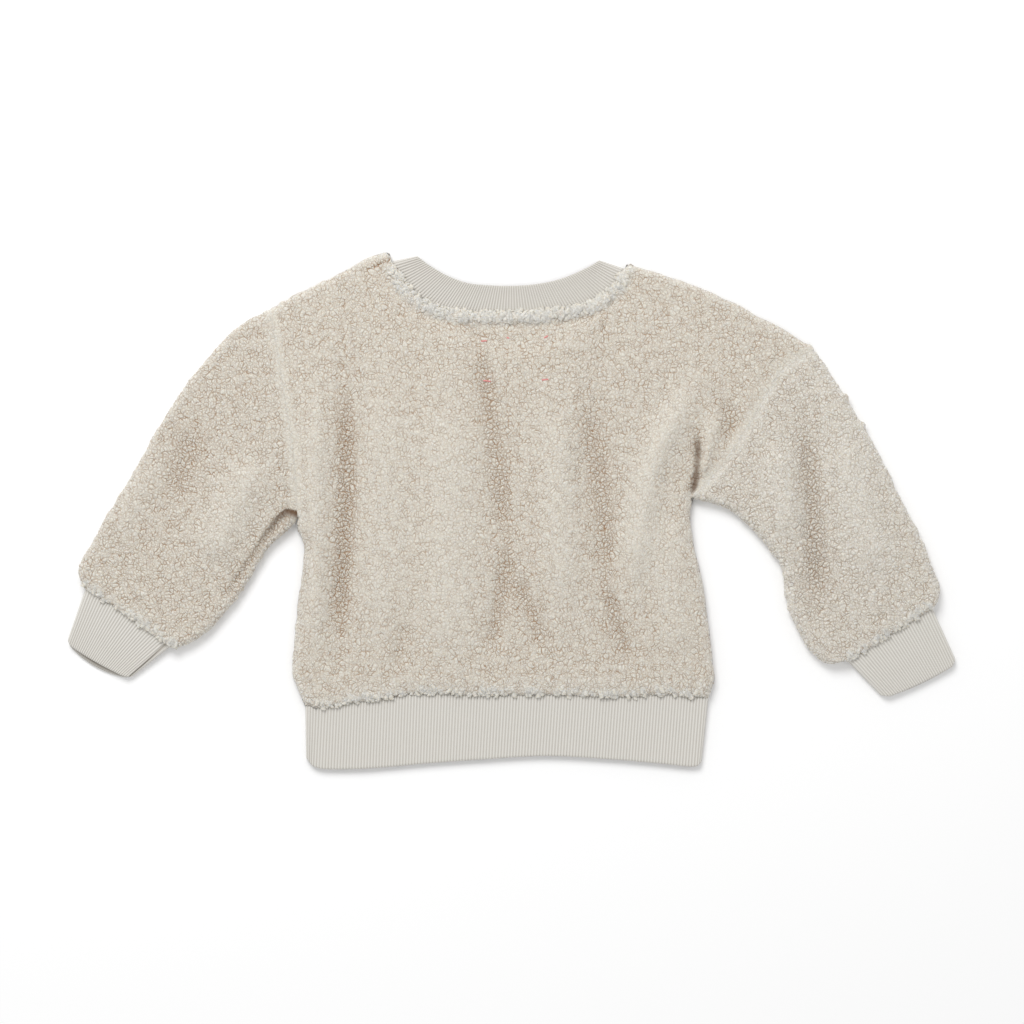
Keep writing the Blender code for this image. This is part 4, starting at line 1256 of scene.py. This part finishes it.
def hem_seam(at):
    """The seam of the hem band, at these fractions of its way from left to right."""
    return smooth_line(column(HEM_SECTIONS, "seam_x", "seam_y"), at)


def hem_edge(at):
    """The free edge of the hem band, at these fractions of its way from left to right."""
    return smooth_line(column(HEM_SECTIONS, "edge_x", "edge_y"), at)


hem_lines = (hem_seam, hem_edge, band_heights, hem_seam, hem_edge)
hem_band = make_band("hem_band_rib", "hem_band", *hem_lines, ribs=135, rows_count=16)


# Cuffs
# Two doubled strips of the same rib knit, seamed into short tubes and sewn to the sleeves' ends. The left
# one gapes a little, so that its lower layer shows past the mouth of the upper one.

Cuff = namedtuple("Cuff", "in_at_top in_at_under mouth_top mouth_under lower_past")
CUFF_LEFT = Cuff(4.5, 4.0, (-312.5, -91.5), (-268.5, -116.5), 3.2)
CUFF_RIGHT = Cuff(3.5, 3.5, (312.5, -106.0), (261.0, -130.5), 0.6)
CUFF_MOUTH_BOW = 1.5
CUFF_ROWS = 16


def make_cuff(name, node, sleeve, cuff, ribs, **shape):
    """A cuff, a tube that starts on the sleeve's end line."""
    top, under = np.array(sleeve[-1][:2]), np.array(sleeve[-1][2:])
    run = (under - top) / np.linalg.norm(under - top)
    ahead = np.array([run[1], -run[0]])
    ahead *= -np.sign(ahead[1])
    seam_ends = [top + cuff.in_at_top * run, under - cuff.in_at_under * run]
    mouth_ends = np.array([cuff.mouth_top, cuff.mouth_under])

    def line(ends, past):
        """A line from end to end that bulges towards the mouth."""
        step = ends[1] - ends[0]
        return lambda at: ends[0] + at[:, None] * step + ahead * (4 * past * at * (1 - at))[:, None]

    seam, mouth = line(seam_ends, 0), line(mouth_ends, CUFF_MOUTH_BOW)
    lower_mouth = line(mouth_ends, CUFF_MOUTH_BOW + cuff.lower_past)
    return make_band(name, node, seam, mouth, band_heights, seam, lower_mouth, ribs, CUFF_ROWS, **shape)


left_shape = {"corner": 0.06, "pleat": 1.1, "mouth_light": 0.95}
right_shape = {"corner": 0.09, "mouth_light": 0.9}
cuff_left = make_cuff("cuff_left_rib", "cuff_left", SLEEVE_LEFT, CUFF_LEFT, 34, **left_shape)
cuff_right = make_cuff("cuff_right_rib", "cuff_right", SLEEVE_RIGHT, CUFF_RIGHT, 33, **right_shape)


# Neckband
# A doubled strip of rib knit sewn round the neckline. Its back half lies on top, with ribs that fan out from
# the middle to the folds at both sides, and its deeper front half lies below it.

NECK_FRONT_FREE_DROP = 52.0
# The neckband's knit is painted a little in shade.
NECKBAND_LIGHT = 0.85


def neck_edge(at):
    """The neckband's free edge at the back, at these fractions of its way from end to end."""
    return smooth_line(column(NECK_BACK, "free_x", "free_y"), at)


def front_neck_edge(at):
    """The neckband's free edge at the front, which hangs from the same ends as the one at the back."""
    return hanging_arc(*neck_edge(np.array([0.0, 1.0])), NECK_FRONT_FREE_DROP, at)


def neck_heights(lines, rows_at):
    """The neckband's top lies one wall of rib above what is below it, all the way to its free edge."""
    return back_lift(lines) + RIB_WALL


neck_lines = (neck_seam, neck_edge, neck_heights, front_neck_seam, front_neck_edge)
neck_shape = {"ribs": 88, "rows_count": 12, "light": NECKBAND_LIGHT}
neckband = make_band("neckband_rib", "neckband", *neck_lines, **neck_shape)


# Pile locks
# Along the neckline, the hem and the cuffs the pile stands out past the seam in small curled locks, which
# hang a little over the rib knit.

LOCK_SIDES = 6
LOCK_STEPS = 5
LOCK_LENGTHS = (3.5, 6.5)
LOCK_RADII = (1.2, 2.1)
LOCK_BENDS = (-2.0, 2.0)
LOCK_SUNK = (0.25, 0.5)
LOCK_FLATNESS = 0.6
LOCK_ARCH = 2.0
LOCK_LOOSENESS = 0.25
LOCK_SPREAD = 0.6
PILE_SHIFT = 90
BLUNT_START = 0.12
TAPER = 0.8


def stored(tree, geometry, name, kind, value):
    """The geometry with a value stored on its points."""
    given = {"Geometry": geometry, "Name": name, "Value": value}
    return add_node(tree, "GeometryNodeStoreNamedAttribute", data_type=kind, inputs=given).outputs["Geometry"]


def bent_strands_tree():
    """Geometry Nodes that set a closed, tapered, slightly bent strand on each point of a piece.

    Each point carries its strand's turn, its length, width and height, and how far its ends bend away.
    """
    inputs = {"Geometry": "Geometry", "Sides": "Int", "Steps": "Int", "Strand": "Material"}
    tree, start, end = new_group("bent_strands", "GeometryNodeTree", inputs, {"Geometry": "Geometry"})
    turn, size, sag, pile_from = (
        carried(tree, name, "FLOAT_VECTOR") for name in ("turn", "size", "sag", "pile_from")
    )
    spine = {"Start": (-0.5, 0, 0), "Middle": (0, 0, 0), "End": (0.5, 0, 0)}
    spine["Resolution"] = start.outputs["Steps"]
    spine = add_node(tree, "GeometryNodeCurveQuadraticBezier", inputs=spine)
    share = add_node(tree, "GeometryNodeSplineParameter").outputs["Factor"]
    taper = sums(tree, "SINE", sums(tree, "MULTIPLY_ADD", share, TAPER * np.pi, BLUNT_START * np.pi))
    tapered = {"Curve": spine.outputs["Curve"], "Radius": taper}
    tapered = add_node(tree, "GeometryNodeSetCurveRadius", inputs=tapered)
    measured = stored(tree, tapered.outputs["Curve"], "along", "FLOAT", sums(tree, "SUBTRACT", share, 0.5))
    ring = {"Resolution": start.outputs["Sides"], "Radius": 1.0}
    ring = add_node(tree, "GeometryNodeCurvePrimitiveCircle", inputs=ring)
    strand = {"Curve": measured, "Profile Curve": ring.outputs["Curve"], "Fill Caps": True}
    strand = add_node(tree, "GeometryNodeCurveToMesh", inputs=strand)
    grown = {"Points": start.outputs["Geometry"], "Instance": strand.outputs["Mesh"]}
    grown = add_node(tree, "GeometryNodeInstanceOnPoints", inputs={**grown, "Rotation": turn, "Scale": size})
    real = add_node(tree, "GeometryNodeRealizeInstances", inputs={"Geometry": grown.outputs["Instances"]})
    along = carried(tree, "along")
    away = vectors(tree, "SCALE", sag, Scale=sums(tree, "MULTIPLY", along, along))
    bent = {"Geometry": real.outputs["Geometry"], "Offset": away}
    bent = add_node(tree, "GeometryNodeSetPosition", inputs=bent)
    here = add_node(tree, "GeometryNodeInputPosition").outputs["Position"]
    place = vectors(tree, "ADD", vectors(tree, "SCALE", here, Scale=1 / MM), pile_from)
    marked = stored(tree, bent.outputs["Geometry"], "pile_at", "FLOAT_VECTOR", place)
    painted = {"Geometry": marked, "Material": start.outputs["Strand"]}
    painted = add_node(tree, "GeometryNodeSetMaterial", inputs=painted)
    link(tree, painted.outputs["Geometry"], end.inputs["Geometry"])
    return tree


bent_strands = bent_strands_tree()


def heights_below(places, pieces, otherwise):
    """How high the top of these pieces lies at each place."""
    trees = [BVHTree.FromObject(piece, bpy.context.evaluated_depsgraph_get()) for piece in pieces]
    found = []
    for x, y in places * MM:
        hits = [tree.ray_cast((x, y, 1.0), (0, 0, -1))[0] for tree in trees]
        found.append(max([hit.z / MM for hit in hits if hit], default=otherwise))
    return np.array(found)


def grow_strands(name, middles, headings, sizes, sags, material, **marks):
    """A piece with one strand on each of these points."""
    mesh = bpy.data.meshes.new(name)
    mesh.from_pydata((middles * MM).tolist(), [], [])
    piece = bpy.data.objects.new(name, mesh)
    bpy.context.scene.collection.objects.link(piece)
    turns = np.column_stack([0 * headings, 0 * headings, headings])
    mark(piece, turn=turns[:, None], size=sizes[:, None] * MM, sag=sags[:, None] * MM, **marks)
    run_tree(piece, bent_strands, Sides=LOCK_SIDES, Steps=LOCK_STEPS, Strand=material)
    piece.data.shade_smooth()
    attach(piece, "root")
    return piece


def pile_locks(name, feet, headings, pieces, coolness, seed):
    """Small bent locks of pile that lie on the pieces below them."""
    rng = np.random.default_rng(seed)
    count = len(feet)
    length, radius = rng.uniform(*LOCK_LENGTHS, count), rng.uniform(*LOCK_RADII, count)
    bend = rng.uniform(*LOCK_BENDS, count)
    height = heights_below(feet, pieces, BAND_HEIGHTS[1]) - rng.uniform(*LOCK_SUNK, count) * radius
    sideways = np.column_stack([-np.sin(headings), np.cos(headings)]) * (length * bend / 2)[:, None]
    sags = np.column_stack([sideways, np.full(count, -LOCK_ARCH)])
    sizes = np.column_stack([length, radius, LOCK_FLATNESS * radius])
    even = np.ones(count)
    marks = {"loose": LOCK_LOOSENESS * even, "shade": 0 * even, "cool": coolness * even}
    shift = rng.uniform(0, PILE_SHIFT, (count, 1, 3))
    middles = np.column_stack([feet, height])
    piece = grow_strands(name, middles, headings, sizes, sags, sherpa, pile_from=shift, **marks)


def along_line(line, spacing, cloth_side, past, depth, seed):
    """Feet and headings of locks scattered along a line, from just past it to some way into the cloth.

    The cloth is on the line's left if the side is 1, and on its right if it is -1. The locks point out of it.
    """
    rng = np.random.default_rng(seed)
    steps = np.diff(line, axis=0)
    length = np.concatenate([[0], np.cumsum(np.linalg.norm(steps, axis=1))])
    at = rng.uniform(0.025, 0.975, int(length[-1] / spacing)) * length[-1]
    feet = np.column_stack([np.interp(at, length, axis) for axis in line.T])
    ahead = np.column_stack([np.interp(at, (length[1:] + length[:-1]) / 2, axis) for axis in steps.T])
    inward = cloth_side * np.column_stack([-ahead[:, 1], ahead[:, 0]])
    inward = inward / np.linalg.norm(ahead, axis=1)[:, None]
    out = np.arctan2(-inward[:, 1], -inward[:, 0])
    feet += inward * rng.uniform(-past, depth, len(at))[:, None]
    return feet, out + rng.normal(0, LOCK_SPREAD, len(at))


EVEN = np.linspace(0, 1, 80)
frill = along_line(neck_seam(EVEN), spacing=0.65, cloth_side=-1, past=0.8, depth=5.5, seed=41)
hem_fringe = along_line(hem_seam(EVEN), spacing=1.5, cloth_side=1, past=0.0, depth=4.0, seed=42)
pile_locks("neckline_locks", *frill, [back, neckband], coolness=0.5, seed=51)
pile_locks("hem_locks", *hem_fringe, [back, hem_band], coolness=0.4, seed=52)


def cuff_locks(name, sleeve, cuff, section, coolness, seed):
    """Locks over a cuff, along the end of its sleeve."""
    end = np.linspace(section[:2], section[2:], 20)
    cloth_side = -np.sign(section[0])
    fringe = along_line(end, spacing=1.5, cloth_side=cloth_side, past=0.5, depth=3.5, seed=seed)
    pile_locks(name, *fringe, [sleeve, cuff], coolness, seed + 1)


cuff_locks("cuff_left_locks", sleeve_left, cuff_left, SLEEVE_LEFT[-1], coolness=0.4, seed=61)
cuff_locks("cuff_right_locks", sleeve_right, cuff_right, SLEEVE_RIGHT[-1], coolness=0.6, seed=71)


# Tack stitches
# A few short stitches of pink thread show through the pile below the neckline, where something small is
# tacked to the inside.

Stitch = namedtuple("Stitch", "x y length turn")
STITCHES = [
    Stitch(-19.6, 120.0, 4.0, 0.1),
    Stitch(23.8, 122.8, 3.0, 0.5),
    Stitch(-2.8, 122.2, 1.8, -0.3),
    Stitch(-17.5, 92.0, 5.2, -0.1),
    Stitch(23.1, 92.8, 4.6, 0.1),
]
THREAD_RADIUS = 0.5
THREAD_LIFT = 0.1
THREAD_FINISH = {"Base Color": (0.72, 0.27, 0.26, 1), "Roughness": 0.7}

pink_thread = new_material("pink_thread", THREAD_FINISH)[0]
stitch_feet = column(STITCHES, "x", "y")
stitch_lengths, stitch_turns = column(STITCHES, "length", "turn").T
stitch_tops = heights_below(stitch_feet, [back], BACK_TOP) + THREAD_LIFT
stitch_sizes = np.column_stack([stitch_lengths, *[np.full(len(STITCHES), THREAD_RADIUS)] * 2])
grow_strands(
    "tack_stitches",
    np.column_stack([stitch_feet, stitch_tops]),
    stitch_turns,
    stitch_sizes,
    0 * stitch_sizes,
    pink_thread,
    pile_from=0 * stitch_sizes[:, None],
)


# Floor, light and camera
# The sweatshirt lies on a plain pale floor, under a broad soft light from beyond the neck, seen from
# straight above.

FLOOR_SIDE = 6.0
FLOOR_FINISH = {"Base Color": (0.97, 0.97, 0.97, 1), "Roughness": 1.0, "Specular IOR Level": 0.0}
LIGHT_PLACE = (-0.5, 1.4, 1.7)
LIGHT_SIZE = 1.2
LIGHT_WATTS = 29
SKY = {"Color": (1, 1, 1, 1), "Strength": 0.70}
VIEW_WIDTH = 0.7168
LENS = 85.0
SENSOR = 36.0
FOCUS_HEIGHT = 0.007
VIEW_CENTRE_Y = 0.00035


def make_floor():
    """A plain pale square under the sweatshirt."""
    mesh = bpy.data.meshes.new("floor")
    half = FLOOR_SIDE / 2
    corners = [(-half, -half, 0), (half, -half, 0), (half, half, 0), (-half, half, 0)]
    mesh.from_pydata(corners, [], [(0, 1, 2, 3)])
    floor = bpy.data.objects.new("floor", mesh)
    bpy.context.scene.collection.objects.link(floor)
    mesh.materials.append(new_material("floor_white", FLOOR_FINISH)[0])


def make_light(name, place, size, watts):
    """A round soft light that faces the middle of the floor."""
    light = bpy.data.lights.new(name, "AREA")
    light.shape = "DISK"
    light.size = size
    light.energy = watts
    lamp = bpy.data.objects.new(name, light)
    lamp.location = place
    lamp.rotation_euler = (-Vector(place)).to_track_quat("-Z", "Y").to_euler()
    bpy.context.scene.collection.objects.link(lamp)


make_floor()
make_light("softbox_above", LIGHT_PLACE, LIGHT_SIZE, LIGHT_WATTS)
world = bpy.data.worlds.new("studio")
world.use_nodes = True
for socket, value in SKY.items():
    world.node_tree.nodes["Background"].inputs[socket].default_value = value
bpy.context.scene.world = world

camera = bpy.data.objects.new("camera", bpy.data.cameras.new("camera"))
camera.data.lens = LENS
camera.data.sensor_width = SENSOR
camera.location = (0, VIEW_CENTRE_Y, FOCUS_HEIGHT + VIEW_WIDTH * LENS / SENSOR)
bpy.context.scene.collection.objects.link(camera)
bpy.context.scene.camera = camera
bpy.context.scene.view_settings.view_transform = "Standard"
